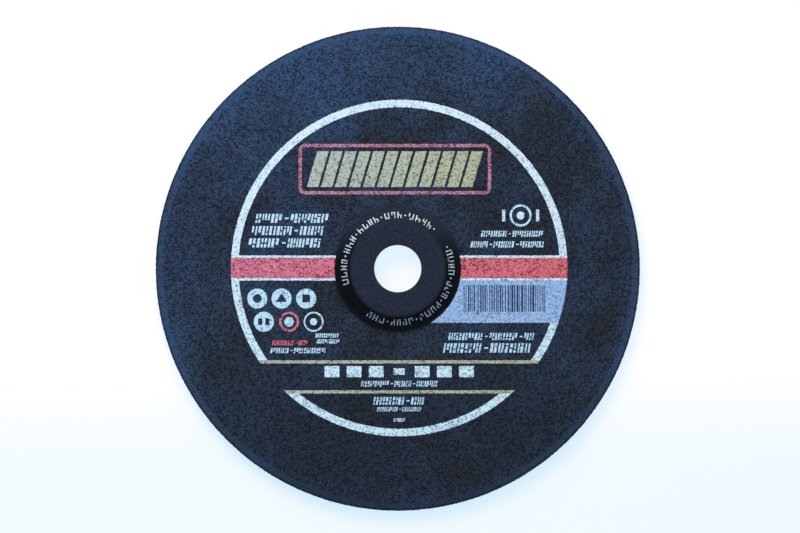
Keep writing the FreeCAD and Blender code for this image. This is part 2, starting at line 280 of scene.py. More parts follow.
class SharedGroup:
    """A node group that is made once and placed in several materials."""

    name: ClassVar[str]
    inputs: ClassVar[dict[str, str]]
    outputs: ClassVar[Sequence[str]]

    def draw(self, graph: Graph, fed: dict[str, Socket]) -> dict[str, Socket]:
        """Make the group's nodes from its inputs, and give its outputs by name."""
        raise NotImplementedError

    def tree(self) -> bpy.types.NodeTree:
        """Give the group's tree, which is made at the first call.

        Returns:
            The tree.
        """
        found = bpy.data.node_groups.get(self.name)
        if found:
            return found
        made = bpy.data.node_groups.new(self.name, "ShaderNodeTree")
        for label, kind in self.inputs.items():
            made.interface.new_socket(name=label, in_out="INPUT", socket_type=kind)
        for label in self.outputs:
            made.interface.new_socket(name=label, in_out="OUTPUT", socket_type="NodeSocketFloat")
        graph = Graph(made)
        entry, leave = graph.node("NodeGroupInput"), graph.node("NodeGroupOutput")
        graph.join(leave, self.draw(graph, {label: entry.outputs[label] for label in self.inputs}))
        return made

    def put(self, graph: Graph, **values: Feed) -> dict[str, Socket]:
        """Place the group in a material.

        Args:
            graph: the material's graph.
            values: what feeds the inputs, by the input's name with low lines for spaces.

        Returns:
            The group's outputs by name.
        """
        feeds = {name.replace("_", " "): value for name, value in values.items()}
        made = graph.node("ShaderNodeGroup", feeds, node_tree=self.tree())
        return {label: made.outputs[label] for label in self.outputs}


class GrainRelief(SharedGroup):
    """Coarse pressed grain: round grains, dark pits between them, and broad cloudy patches."""

    name = "grain_relief"
    inputs = {
        "Position": "NodeSocketVector",
        "Grain Size": "NodeSocketFloat",
        "Pit Share": "NodeSocketFloat",
        "Cloud Size": "NodeSocketFloat",
    }
    outputs = ("Pits", "Tone", "Clouds", "Height")
    pit_blur = 0.05
    pit_form = Ramp(0.75, 0.15)
    wide_scale = 0.48
    wide_share = 0.4
    fine_scale = 2.6
    chance_in_tone = 0.55
    cloud_form = Ramp(0.25, 0.75)
    dome_form = Ramp(0.8, 0.0)
    fine_height = 0.5
    pit_height = -0.8

    def pits(self, graph: Graph, distance: Socket, chance: Socket, share: Socket) -> Socket:
        """Sink a share of the grains to soft-edged pits.

        Args:
            graph: the group's graph.
            distance: the distance from the grain's middle.
            chance: the grain's chance value.
            share: the share of grains that are pits.

        Returns:
            The pits, from 0 to 1.
        """
        low, high = graph.minus(share, self.pit_blur), graph.plus(share, self.pit_blur)
        return graph.times(graph.span(chance, low, high, 1.0, 0.0), self.pit_form.over(graph, distance))

    def draw(self, graph: Graph, fed: dict[str, Socket]) -> dict[str, Socket]:
        """Make the grain's nodes.

        Args:
            graph: the group's graph.
            fed: the group's inputs by name.

        Returns:
            The outputs by name.
        """
        place, share = fed["Position"], fed["Pit Share"]
        scale = graph.math("DIVIDE", 1.0, fed["Grain Size"])
        distance, chance = graph.cells(place, scale)
        wide = graph.cells(place, graph.times(scale, self.wide_scale))
        large = self.pits(graph, *wide, graph.times(share, self.wide_share))
        pits = graph.larger(self.pits(graph, distance, chance, share), large)
        fine = graph.noise(place, graph.times(scale, self.fine_scale), detail=2.0, roughness=0.6)
        broad = graph.math("DIVIDE", 1.0, fed["Cloud Size"])
        clouds = graph.noise(place, broad, detail=3.0, roughness=0.55)
        fine_tone = graph.times(fine, 1.0 - self.chance_in_tone)
        dome = graph.times(self.dome_form.over(graph, distance), chance)
        return {
            "Pits": pits,
            "Tone": graph.plus(graph.times(chance, self.chance_in_tone), fine_tone),
            "Clouds": self.cloud_form.over(graph, clouds),
            "Height": graph.times_plus(pits, self.pit_height, graph.times_plus(fine, self.fine_height, dome)),
        }


class GlassNet(SharedGroup):
    """A woven net of glass strands that lie over and under each other."""

    name = "glass_net"
    inputs = {"Position": "NodeSocketVector", "Pitch": "NodeSocketFloat", "Strand Width": "NodeSocketFloat"}
    outputs = ("Strands", "Height")
    drift_scale = 0.02
    drift_reach = 7.0

    def draw(self, graph: Graph, fed: dict[str, Socket]) -> dict[str, Socket]:
        """Make the net's nodes: two families of strands, and which of them is on top.

        Args:
            graph: the group's graph.
            fed: the group's inputs by name.

        Returns:
            The outputs by name.
        """
        waver = graph.node("ShaderNodeTexNoise", {"Vector": fed["Position"], "Scale": self.drift_scale})
        centred = graph.vector("SUBTRACT", waver.outputs["Color"], (0.5,) * 3)
        drift = graph.vector("MULTIPLY", centred, (self.drift_reach,) * 3)
        x, y, _ = graph.split(graph.vector("ADD", fed["Position"], drift))
        half = graph.times(fed["Strand Width"], 0.5)
        counts, strands = [], []
        for along in (x, y):
            turns = graph.math("DIVIDE", along, fed["Pitch"])
            counts.append(graph.math("FLOOR", turns))
            off = graph.math("ABSOLUTE", graph.minus(graph.math("FRACT", turns), 0.5))
            strands.append(graph.span(graph.times(off, fed["Pitch"]), half, 0.0))
        parity = graph.math("FLOORED_MODULO", graph.plus(*counts), 2.0)
        over = graph.times(strands[0], graph.times_plus(parity, 0.5, 0.5))
        under = graph.times(strands[1], graph.times_plus(parity, -0.5, 1.0))
        return {"Strands": graph.larger(*strands), "Height": graph.larger(over, under)}


class Smudges(SharedGroup):
    """Dull patches and light dust from storage and handling."""

    name = "smudges"
    inputs = {"Position": "NodeSocketVector", "Patch Size": "NodeSocketFloat"}
    outputs = ("Smudge", "Dust")
    speck_scale = 30.0
    smudge_form = Ramp(0.3, 0.7)
    dusty_form = Ramp(0.45, 0.7)
    speck_form = Ramp(0.52, 0.72)

    def draw(self, graph: Graph, fed: dict[str, Socket]) -> dict[str, Socket]:
        """Make the patches and the dust.

        Args:
            graph: the group's graph.
            fed: the group's inputs by name.

        Returns:
            The outputs by name.
        """
        scale = graph.math("DIVIDE", 1.0, fed["Patch Size"])
        patches = graph.noise(fed["Position"], scale, detail=5.0, roughness=0.6)
        specks = graph.noise(fed["Position"], graph.times(scale, self.speck_scale))
        dust = graph.times(self.dusty_form.over(graph, patches), self.speck_form.over(graph, specks))
        return {"Smudge": self.smudge_form.over(graph, patches), "Dust": dust}


@dataclass(frozen=True)
class MouldedGrain:
    """Black grain and resin, pressed and baked.

    Its ramps go by the place on the wheel, in millimetres, or by a value of the grain, from 0 to 1.
    """

    name: str
    light: Colour = Colour(41, 61, 90)
    dark: Colour = Colour(29, 35, 45)
    pit: Colour = Colour(19, 22, 28)
    dust: Colour = Colour(96, 102, 110)
    low_tones: Pair = (0.64, 0.7)
    high_tones: Pair = (1.54, 1.34)
    pit_tone: float = 0.5
    tone_form: Ramp = Ramp(0.15, 0.85)
    smudge_size: float = 16.0
    dust_share: float = 0.4
    pit_strength: float = 0.7
    grain: float = 0.72
    pit_share: float = 0.32
    clouds: float = 27.0
    # Painted sheen: the next eight settings make the grain bluer towards the top and the left, and darker
    # towards the bottom; the rim's band is bluer in itself, and more so towards the top.
    painted_sheen_strength: float = 1.0
    rim_tone_and_sheen_strength: float = 1.0
    painted_sheen_way: Point = (-0.2, 0.98)
    base_tone_and_sheen: Ramp = Ramp(-80.0, 0.0, 0.09, 0.15)
    painted_sheen_top: Ramp = Ramp(52.0, 96.0, 0.0, 0.5)
    painted_sheen_left: Ramp = Ramp(5.0, -50.0, 0.0, 0.18)
    painted_sheen_left_fade: Ramp = Ramp(-88.0, -55.0, 0.15, 1.0)
    rim_tone_and_sheen: Ramp = Ramp(-80.0, 20.0, 0.16, 0.28)
    rim_reach: Ramp = Ramp(99.0, 112.0)
    unrest: Ramp = Ramp(-85.0, -10.0, 0.3, 0.75)
    relief: float = 0.3
    roughness: float = 0.58
    roughness_spread: float = 0.1
    shine: float = 0.06

    def patches(self, graph: Graph, place: Socket, grain: dict[str, Socket]) -> Socket:
        """Give the bluish share: random cloudy patches, the rim's bluer band, and painted sheen, most at the
        top and left.

        Args:
            graph: the material's graph.
            place: the place on the wheel.
            grain: the outputs of the grain's group.

        Returns:
            The share of the light colour, from 0 to 1.
        """
        x, y, _ = graph.split(place)
        left = graph.times(self.painted_sheen_left.over(graph, x), self.painted_sheen_left_fade.over(graph, y))
        # Painted sheen, bluer towards the top and the left.
        leaning = graph.plus(self.painted_sheen_top.over(graph, graph.along(place, self.painted_sheen_way)), left)
        share = graph.times_plus(leaning, self.painted_sheen_strength, self.base_tone_and_sheen.over(graph, y))
        # The rim's band is bluer in itself, with more painted sheen towards the top.
        near_rim = graph.times(self.rim_tone_and_sheen.over(graph, y), self.rim_tone_and_sheen_strength)
        share = graph.times_plus(self.rim_reach.over(graph, graph.radius(place)), near_rim, share)
        cloudy = graph.times(graph.minus(grain["Clouds"], 0.5), self.unrest.over(graph, y))
        return graph.math("ADD", share, cloudy, clamp=True)

    def hue(self, graph: Graph, place: Socket, grain: dict[str, Socket]) -> Socket:
        """Colour the grain: cloudy patches with painted sheen, lighter and darker grains, some dust, and dark
        pits.

        Args:
            graph: the material's graph.
            place: the place on the wheel.
            grain: the outputs of the grain's group.

        Returns:
            The colour.
        """
        clouds = self.patches(graph, place, grain)
        low, high = (
            graph.mix(clouds, self.dark.scaled(dark), self.light.scaled(light))
            for dark, light in (self.low_tones, self.high_tones)
        )
        lit = graph.mix(self.tone_form.over(graph, grain["Tone"]), low, high)
        smudges = Smudges().put(graph, Position=place, Patch_Size=self.smudge_size)
        dusty = graph.mix(graph.times(smudges["Dust"], self.dust_share), lit, self.dust)
        pit = graph.mix(clouds, self.pit, self.light.scaled(self.pit_tone))
        return graph.mix(graph.times(grain["Pits"], self.pit_strength), dusty, pit)

    def surface(self, graph: Graph, place: Socket, grain: dict[str, Socket]) -> tuple[Socket, Socket, Socket]:
        """Work out what the surface shader is fed.

        Args:
            graph: the material's graph.
            place: the place on the wheel.
            grain: the outputs of the grain's group.

        Returns:
            The colour, the roughness and the height of the relief.
        """
        spread = self.roughness_spread
        roughness = graph.times_plus(grain["Tone"], 2 * spread, self.roughness - spread)
        return self.hue(graph, place, grain), roughness, grain["Height"]

    def material(self) -> bpy.types.Material:
        """Make the material.

        Returns:
            The material.
        """
        material, graph, shader = new_material(self.name)
        place = graph.place()
        sizes = {"Grain_Size": self.grain, "Pit_Share": self.pit_share, "Cloud_Size": self.clouds}
        grain = GrainRelief().put(graph, Position=place, **sizes)
        colour, roughness, height = self.surface(graph, place, grain)
        feeds = {
            "Base Color": colour,
            "Roughness": roughness,
            "Normal": graph.bump(height, self.relief),
            "Specular IOR Level": self.shine,
        }
        graph.join(shader, feeds)
        return material


@dataclass(frozen=True)
class LabelFace(MouldedGrain):
    """The label side: coarse on the flat, smoother on the hub with painted shade on its slope, bluer on the
    rim's band, and with painted shade towards the bottom and at the outer corner.
    """

    hub: Colour = Colour(36, 43, 60)
    # Painted shade on the hub's slope: dim where it looks down the picture, lit where it looks up.
    slope_lit: Colour = Colour(36, 42, 56)
    slope_dim: Colour = Colour(4, 9, 15)
    under_bars: Colour = Colour(30, 60, 102)
    band: Colour = Colour(51, 75, 112)
    band_dark: Colour = Colour(46, 58, 72)
    band_painted_shade: Colour = Colour(30, 36, 46)
    mottle_scale: float = 1.6
    mottle: Ramp = Ramp(0.35, 0.75)
    mottle_tones: Pair = (0.8, 1.2)
    slope_light: Ramp = Ramp(0.0, 26.0)
    land_edge: Ramp = Ramp(21.6, 23.4)
    hub_edge: Ramp = Ramp(29.1, 31.7)
    bars_centre: Point = (51.6, -15.5)
    bars_side: Ramp = Ramp(21.6, 22.6, 0.9, 0.0)
    bars_end: Ramp = Ramp(8.2, 9.2, 1.0, 0.0)
    band_edge: Ramp = Ramp(110.8, 111.7)
    band_shade_fade: Ramp = Ramp(-112.0, -88.0)
    band_share: float = 0.2
    band_pits: float = 0.6
    low_shade: Ramp = Ramp(-85.0, -35.0, 0.17, 0.0)
    corner_shade: Ramp = Ramp(113.7, 114.4, 0.0, 0.6)

    def hub_hue(self, graph: Graph, place: Socket, out: Socket, y: Socket) -> Socket:
        """Colour the hub: finely mottled on its land, with painted shade on the slope, darkest where it looks
        away from the light.

        Args:
            graph: the material's graph.
            place: the place on the wheel.
            out: its distance from the axis.
            y: the place up the picture.

        Returns:
            The colour.
        """
        fine = graph.noise(place, self.mottle_scale, detail=3.0, roughness=0.6)
        dim, lit = (self.hub.scaled(tone) for tone in self.mottle_tones)
        land = graph.mix(self.mottle.over(graph, fine), dim, lit)
        slope = graph.mix(self.slope_light.over(graph, y), self.slope_dim, self.slope_lit)
        return graph.mix(self.land_edge.over(graph, out), land, slope)

    def under_panel(self, graph: Graph, flat: Socket, x: Socket, y: Socket) -> Socket:
        """Tint the grain that shows between the panel's ink, where its bars are left bare.

        Args:
            graph: the material's graph.
            flat: the colour of the flat.
            x: the place across the picture.
            y: the place up the picture.

        Returns:
            The colour.
        """
        offsets = (graph.minus(part, middle) for part, middle in zip((x, y), self.bars_centre))
        beside, below = (graph.math("ABSOLUTE", offset) for offset in offsets)
        under = graph.times(self.bars_side.over(graph, beside), self.bars_end.over(graph, below))
        return graph.mix(under, flat, self.under_bars)

    def band_hue(self, graph: Graph, place: Socket, grain: dict[str, Socket], y: Socket) -> Socket:
        """Colour the smooth band next to the rim, with painted shade towards the bottom.

        Args:
            graph: the material's graph.
            place: the place on the wheel.
            grain: the outputs of the grain's group.
            y: the place up the picture.

        Returns:
            The colour.
        """
        share = graph.math("ADD", self.patches(graph, place, grain), self.band_share, clamp=True)
        # Painted shade: the band darkens towards the bottom of the wheel.
        dark = graph.mix(self.band_shade_fade.over(graph, y), self.band_painted_shade, self.band_dark)
        smooth = graph.mix(share, dark, self.band)
        return graph.mix(graph.times(grain["Pits"], self.band_pits), smooth, self.pit)

    def hue(self, graph: Graph, place: Socket, grain: dict[str, Socket]) -> Socket:
        """Colour the face by its distance from the axis, with painted shade towards the bottom and at the
        outer corner.

        Args:
            graph: the material's graph.
            place: the place on the wheel.
            grain: the outputs of the grain's group.

        Returns:
            The colour.
        """
        out = graph.radius(place)
        x, y, _ = graph.split(place)
        flat = self.under_panel(graph, super().hue(graph, place, grain), x, y)
        # The hub's colour, with its painted shade, runs a little past the foot as painted shade on the flat
        # round it.
        inner = graph.mix(self.hub_edge.over(graph, out), self.hub_hue(graph, place, out, y), flat)
        whole = graph.mix(self.band_edge.over(graph, out), inner, self.band_hue(graph, place, grain, y))
        # Painted shade: darker towards the bottom of the face, and on the outer corner of the rim's band.
        shade = graph.plus(self.low_shade.over(graph, y), self.corner_shade.over(graph, out))
        return graph.mix(shade, whole, NO_LIGHT)


@dataclass(frozen=True)
class NettedBack(MouldedGrain):
    """The grinding side, where a resin-soaked glass net shows through the grain."""

    pitch: float = 5.0
    strand: float = 1.7
    strand_colour: Colour = Colour(66, 68, 70)
    strand_height: float = 1.6
    strand_gloss: float = -0.14
    bare_roughness: float = 0.06
    soaking: Ramp = Ramp(0.1, 0.6, 0.35, 0.9)

    def surface(self, graph: Graph, place: Socket, grain: dict[str, Socket]) -> tuple[Socket, Socket, Socket]:
        """Lay the net over the grain.

        Args:
            graph: the material's graph.
            place: the place on the wheel.
            grain: the outputs of the grain's group.

        Returns:
            The colour, the roughness and the height of the relief.
        """
        net = GlassNet().put(graph, Position=place, Pitch=self.pitch, Strand_Width=self.strand)
        soaked = graph.times(net["Strands"], self.soaking.over(graph, grain["Tone"]))
        colour = graph.mix(soaked, self.hue(graph, place, grain), self.strand_colour)
        roughness = graph.times_plus(net["Strands"], self.strand_gloss, self.roughness + self.bare_roughness)
        return colour, roughness, graph.times_plus(net["Height"], self.strand_height, grain["Height"])


@dataclass(frozen=True)
class PressedSteel:
    """Plated sheet steel, drawn through a die, a little stained, with resin over the tube's lip."""

    name: str = "pressed_steel"
    bright: Colour = Colour(172, 175, 177)
    stained: Colour = Colour(112, 109, 103)
    resin: Colour = Colour(26, 28, 32)
    stain_size: float = 5.0
    draw_scale: float = 9.0
    draw_depth: float = 0.02
    wear: Ramp = Ramp(0.3, 1.6, 0.24, 0.52)
    lip: Ramp = Ramp(10.65, 10.9)
    lip_scale: float = 0.9
    lip_waver: float = 0.8
    resin_roughness: float = 0.2

    def material(self) -> bpy.types.Material:
        """Make the material.

        Returns:
            The material.
        """
        material, graph, shader = new_material(self.name)
        place = graph.place()
        smudge = Smudges().put(graph, Position=place, Patch_Size=self.stain_size)["Smudge"]
        _, _, height = graph.split(place)
        across = graph.times(graph.radius(place), self.draw_scale)
        lines = graph.node("ShaderNodeCombineXYZ", {0: across, 1: graph.times(height, self.draw_scale)})
        drawn = graph.noise(lines.outputs[0], 1.0, detail=3.0, roughness=0.7)
        ragged = graph.times_plus(graph.noise(place, self.lip_scale, detail=3.0), self.lip_waver, height)
        resin = self.lip.over(graph, ragged)
        steel = graph.mix(smudge, self.bright, self.stained)
        worn = self.wear.over(graph, graph.plus(smudge, drawn))
        feeds = {
            "Base Color": graph.mix(resin, steel, self.resin),
            "Metallic": graph.minus(1.0, resin),
            "Roughness": graph.times_plus(resin, self.resin_roughness, worn),
            "Normal": graph.bump(drawn, self.draw_depth),
        }
        graph.join(shader, feeds)
        return material


@dataclass(frozen=True)
class PrintedInk:
    """Screen-printed ink on coarse grain, which misses the pits, with painted light that shifts its colour
    across the wheel.
    """

    ink: Ink
    film: Colour
    # Painted light: the ink turns towards the next colour along the next way, bluer as a sheen or darker as
    # shade.
    painted_light_film: Colour
    painted_light_way: Point
    speck: Colour
    clean: float
    worn: float
    high_film: Colour | None = None
    high_edge: Ramp = Ramp(20.0, 32.0)
    reach: float = 60.0
    label: str = "print"
    grain: float = 0.72
    clouds: float = 15.0
    wear_way: Point = (0.35, -0.85)
    wear_reach: float = 75.0
    tones: Triple = (0.9, 1.04, 0.86)
    tone_form: Ramp = Ramp(0.2, 0.8)
    smudge_size: float = 12.0
    soil_share: float = 0.18
    missed_form: Ramp = Ramp(0.0, 1.0, 0.7, 1.0)
    roughness: float = 0.55
    pit_roughness: float = 0.15
    relief: float = 0.16
    shine: float = 0.25

    def coat(self, graph: Graph, far: Socket, y: Socket, tone: float) -> Socket:
        """Colour the ink, made darker or lighter by a factor.

        Args:
            graph: the material's graph.
            far: the share of the colour with painted light, which grows towards one side.
            y: the place up the picture, by which the high film's colour comes in.
            tone: the factor.

        Returns:
            The colour.
        """
        level = graph.mix(far, self.film.scaled(tone), self.painted_light_film.scaled(tone))
        if self.high_film is None:
            return level
        return graph.mix(self.high_edge.over(graph, y), level, self.high_film.scaled(tone))

    def material(self) -> bpy.types.Material:
        """Make the material.

        Returns:
            The material.
        """
        material, graph, shader = new_material(f"{self.label}_{self.ink.value}")
        place = graph.place()
        _, y, _ = graph.split(place)
        slant = graph.along(place, self.wear_way)
        share = graph.span(slant, -self.wear_reach, self.wear_reach, self.clean, self.worn)
        sizes = {"Grain_Size": self.grain, "Pit_Share": share, "Cloud_Size": self.clouds}
        grain = GrainRelief().put(graph, Position=place, **sizes)
        far = graph.span(graph.along(place, self.painted_light_way), -self.reach, self.reach)
        thin, thick, soiled = (self.coat(graph, far, y, tone) for tone in self.tones)
        even = graph.mix(self.tone_form.over(graph, grain["Tone"]), thin, thick)
        smudges = Smudges().put(graph, Position=place, Patch_Size=self.smudge_size)
        dull = graph.mix(graph.times(smudges["Smudge"], self.soil_share), even, soiled)
        missed = graph.times(grain["Pits"], self.missed_form.over(graph, grain["Clouds"]))
        feeds = {
            "Base Color": graph.mix(missed, dull, self.speck),
            "Roughness": graph.times_plus(grain["Pits"], self.pit_roughness, self.roughness),
            "Normal": graph.bump(grain["Height"], self.relief),
            "Specular IOR Level": self.shine,
        }
        graph.join(shader, feeds)
        return material


# The second colour of each ink is painted light, bluer towards one side of the wheel.
INKS: dict[Ink, PrintedInk] = {
    finish.ink: finish
    for finish in (
        PrintedInk(
            Ink.WHITE, film=Colour(207, 231, 247), painted_light_film=Colour(200, 234, 255), painted_light_way=DOWN,
            speck=Colour(92, 122, 156), clean=0.08, worn=0.44,
        ),
        PrintedInk(
            Ink.RED, film=Colour(211, 103, 114), painted_light_film=Colour(212, 118, 150), painted_light_way=UP_LEFT,
            speck=Colour(86, 20, 36), clean=0.62, worn=0.38, high_film=Colour(178, 122, 150),
        ),
        PrintedInk(
            Ink.BLUE, film=Colour(150, 184, 230), painted_light_film=Colour(150, 184, 230), painted_light_way=DOWN,
            speck=Colour(100, 126, 172), clean=0.24, worn=0.44,
        ),
        PrintedInk(
            Ink.GOLD, film=Colour(171, 179, 148), painted_light_film=Colour(170, 183, 180), painted_light_way=LEFT,
            speck=Colour(94, 96, 78), clean=0.25, worn=0.45,
        ),
    )
}
# The marks' second colour is painted light, bluer towards the bottom.
MARK_INK = PrintedInk(
    Ink.WHITE, film=Colour(192, 226, 252), painted_light_film=Colour(184, 226, 255), painted_light_way=DOWN,
    speck=Colour(80, 112, 152), clean=0.08, worn=0.4, label="marked",
)
# Painted shade: the hub's marks darken towards the bottom of the slope.
HUB_INK = PrintedInk(
    Ink.WHITE, film=Colour(216, 228, 236), painted_light_film=Colour(134, 154, 180), painted_light_way=DOWN,
    speck=Colour(60, 76, 98), clean=0.2, worn=0.3, reach=26.0, label="hub",
)


@dataclass(frozen=True)
class Corner:
    """A corner of a turned section, its blend radius, and the zone of the edge that leaves it."""

    radius: float
    height: float
    blend: float
    zone: Zone


@dataclass(frozen=True)
class Station:
    """A point of a section, the way that its surface faces, and its zone."""

    radius: float
    height: float
    facing: Point
    zone: Zone


@dataclass
class Section:
    """A closed section that is turned about the axis, walked with its outside on the left."""

    corners: Sequence[Corner]
    spacing: Callable[[Zone], float]
    widest_turn: float = 0.5

    def heading(self, place: int) -> tuple[Point, float]:
        """Measure the edge that leaves a corner.

        Args:
            place: the corner's place in the section.

        Returns:
            The edge's direction and its length.
        """
        here, there = self.corners[place % len(self.corners)], self.corners[(place + 1) % len(self.corners)]
        run, rise = there.radius - here.radius, there.height - here.height
        length = math.hypot(run, rise)
        return (run / length, rise / length), length

    def bend(self, place: int) -> tuple[float, float]:
        """Measure the turn at a corner.

        Args:
            place: the corner's place in the section.

        Returns:
            The signed turn, and the length that the corner's blend takes of each edge.
        """
        (before, _), (after, _) = self.heading(place - 1), self.heading(place)
        cross, dot = before[0] * after[1] - before[1] * after[0], before[0] * after[0] + before[1] * after[1]
        turn = math.atan2(cross, dot)
        return turn, self.corners[place % len(self.corners)].blend * math.tan(abs(turn) / 2)

    def blended(self, place: int) -> list[Station]:
        """Walk the round stretch of a corner.

        Args:
            place: the corner's place in the section.

        Returns:
            The stretch's stations, all but its last.
        """
        corner, (before, _), (turn, cut) = self.corners[place], self.heading(place - 1), self.bend(place)
        side = math.copysign(1.0, turn)
        normal = (-before[1], before[0])
        start = (corner.radius - before[0] * cut, corner.height - before[1] * cut)
        centre = (start[0] + normal[0] * corner.blend * side, start[1] + normal[1] * corner.blend * side)
        by_length = math.ceil(abs(turn) * corner.blend / self.spacing(corner.zone))
        steps = max(2, by_length, math.ceil(abs(turn) / self.widest_turn))
        reach = -corner.blend * side
        walked = []
        for step in range(steps):
            angle = turn * step / steps
            facing = (
                normal[0] * math.cos(angle) - normal[1] * math.sin(angle),
                normal[0] * math.sin(angle) + normal[1] * math.cos(angle),
            )
            spot = (centre[0] + facing[0] * reach, centre[1] + facing[1] * reach)
            walked.append(Station(*spot, facing, corner.zone))
        return walked

    def stations(self) -> list[Station]:
        """Walk round the section, through its blends.

        Returns:
            The stations in order, without the first one again at the end.
        """
        walked: list[Station] = []
        for place, corner in enumerate(self.corners):
            (way, length), (_, cut) = self.heading(place), self.bend(place)
            if corner.blend > 0:
                walked += self.blended(place)
            straight = length - cut - self.bend(place + 1)[1]
            steps = max(1, round(straight / self.spacing(corner.zone)))
            for step in range(steps):
                along = cut + straight * step / steps
                spot = (corner.radius + way[0] * along, corner.height + way[1] * along)
                walked.append(Station(*spot, (-way[1], way[0]), corner.zone))
        return walked


def turned(radii: np.ndarray | float, heights: np.ndarray | float, angles: np.ndarray) -> np.ndarray:
    """Give one row of x, y and z for each angle about the axis."""
    spread = np.broadcast_to(heights, angles.shape)
    return np.column_stack([radii * np.cos(angles), radii * np.sin(angles), spread])


def add_object(name: str, points: np.ndarray, faces: Sequence[Sequence[int]]) -> bpy.types.Object:
    """Make a mesh object from points in millimetres.

    Args:
        name: the object's name.
        points: one row of x, y and z a point.
        faces: the faces, seen from outside in counter-clockwise order.

    Returns:
        The object, smooth between its sharp edges.
    """
    mesh = bpy.data.meshes.new(name)
    mesh.from_pydata((points * MM).tolist(), [], faces)
    mesh.validate()
    mesh.shade_smooth()
    mesh.set_sharp_from_angle(angle=SHARP_ANGLE)
    made = bpy.data.objects.new(name, mesh)
    bpy.context.scene.collection.objects.link(made)
    return made


def adopt(piece: bpy.types.Object, slot: str, *nodes: str) -> None:
    """Let a piece ride on the object, and stand for some nodes.

    Args:
        piece: the piece.
        slot: the slot's name, which is not used.
        nodes: the CAD nodes that the piece stands for.
    """
    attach(piece, "root")
    if nodes:
        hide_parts(*nodes)


def stitch(first: np.ndarray, second: np.ndarray, at_first: int, at_second: int) -> list[Triangle]:
    """Join two rings of points, whose counts may differ, by triangles.

    Args:
        first: the angles of the ring that the walk leaves, from small to large.
        second: the angles of the ring that it comes to.
        at_first: the index of the first ring's first point.
        at_second: the index of the second ring's first point.

    Returns:
        Triangles that close the strip all the way round.
    """
    start = int(np.argmin(np.abs((second - first[0] + math.pi) % FULL_TURN - math.pi)))
    unrolled = np.concatenate([second[start:], second[:start] + FULL_TURN])
    shift = round((first[0] - unrolled[0]) / FULL_TURN) * FULL_TURN
    one = np.append(first, first[0] + FULL_TURN).tolist()
    two = np.append(unrolled + shift, unrolled[0] + shift + FULL_TURN).tolist()
    triangles = []
    i = j = 0
    while i < len(first) or j < len(second):
        here, there = at_first + i % len(first), at_second + (start + j) % len(second)
        if j == len(second) or (i < len(first) and one[i + 1] <= two[j + 1]):
            i += 1
            triangles.append((here, there, at_first + i % len(first)))
        else:
            j += 1
            triangles.append((here, there, at_second + (start + j) % len(second)))
    return triangles


@dataclass(frozen=True)
class Stretch:
    """How a zone of the wheel is made: the gap between points, the depth of its grain, and its side."""

    spacing: float
    depth: float
    side: Side


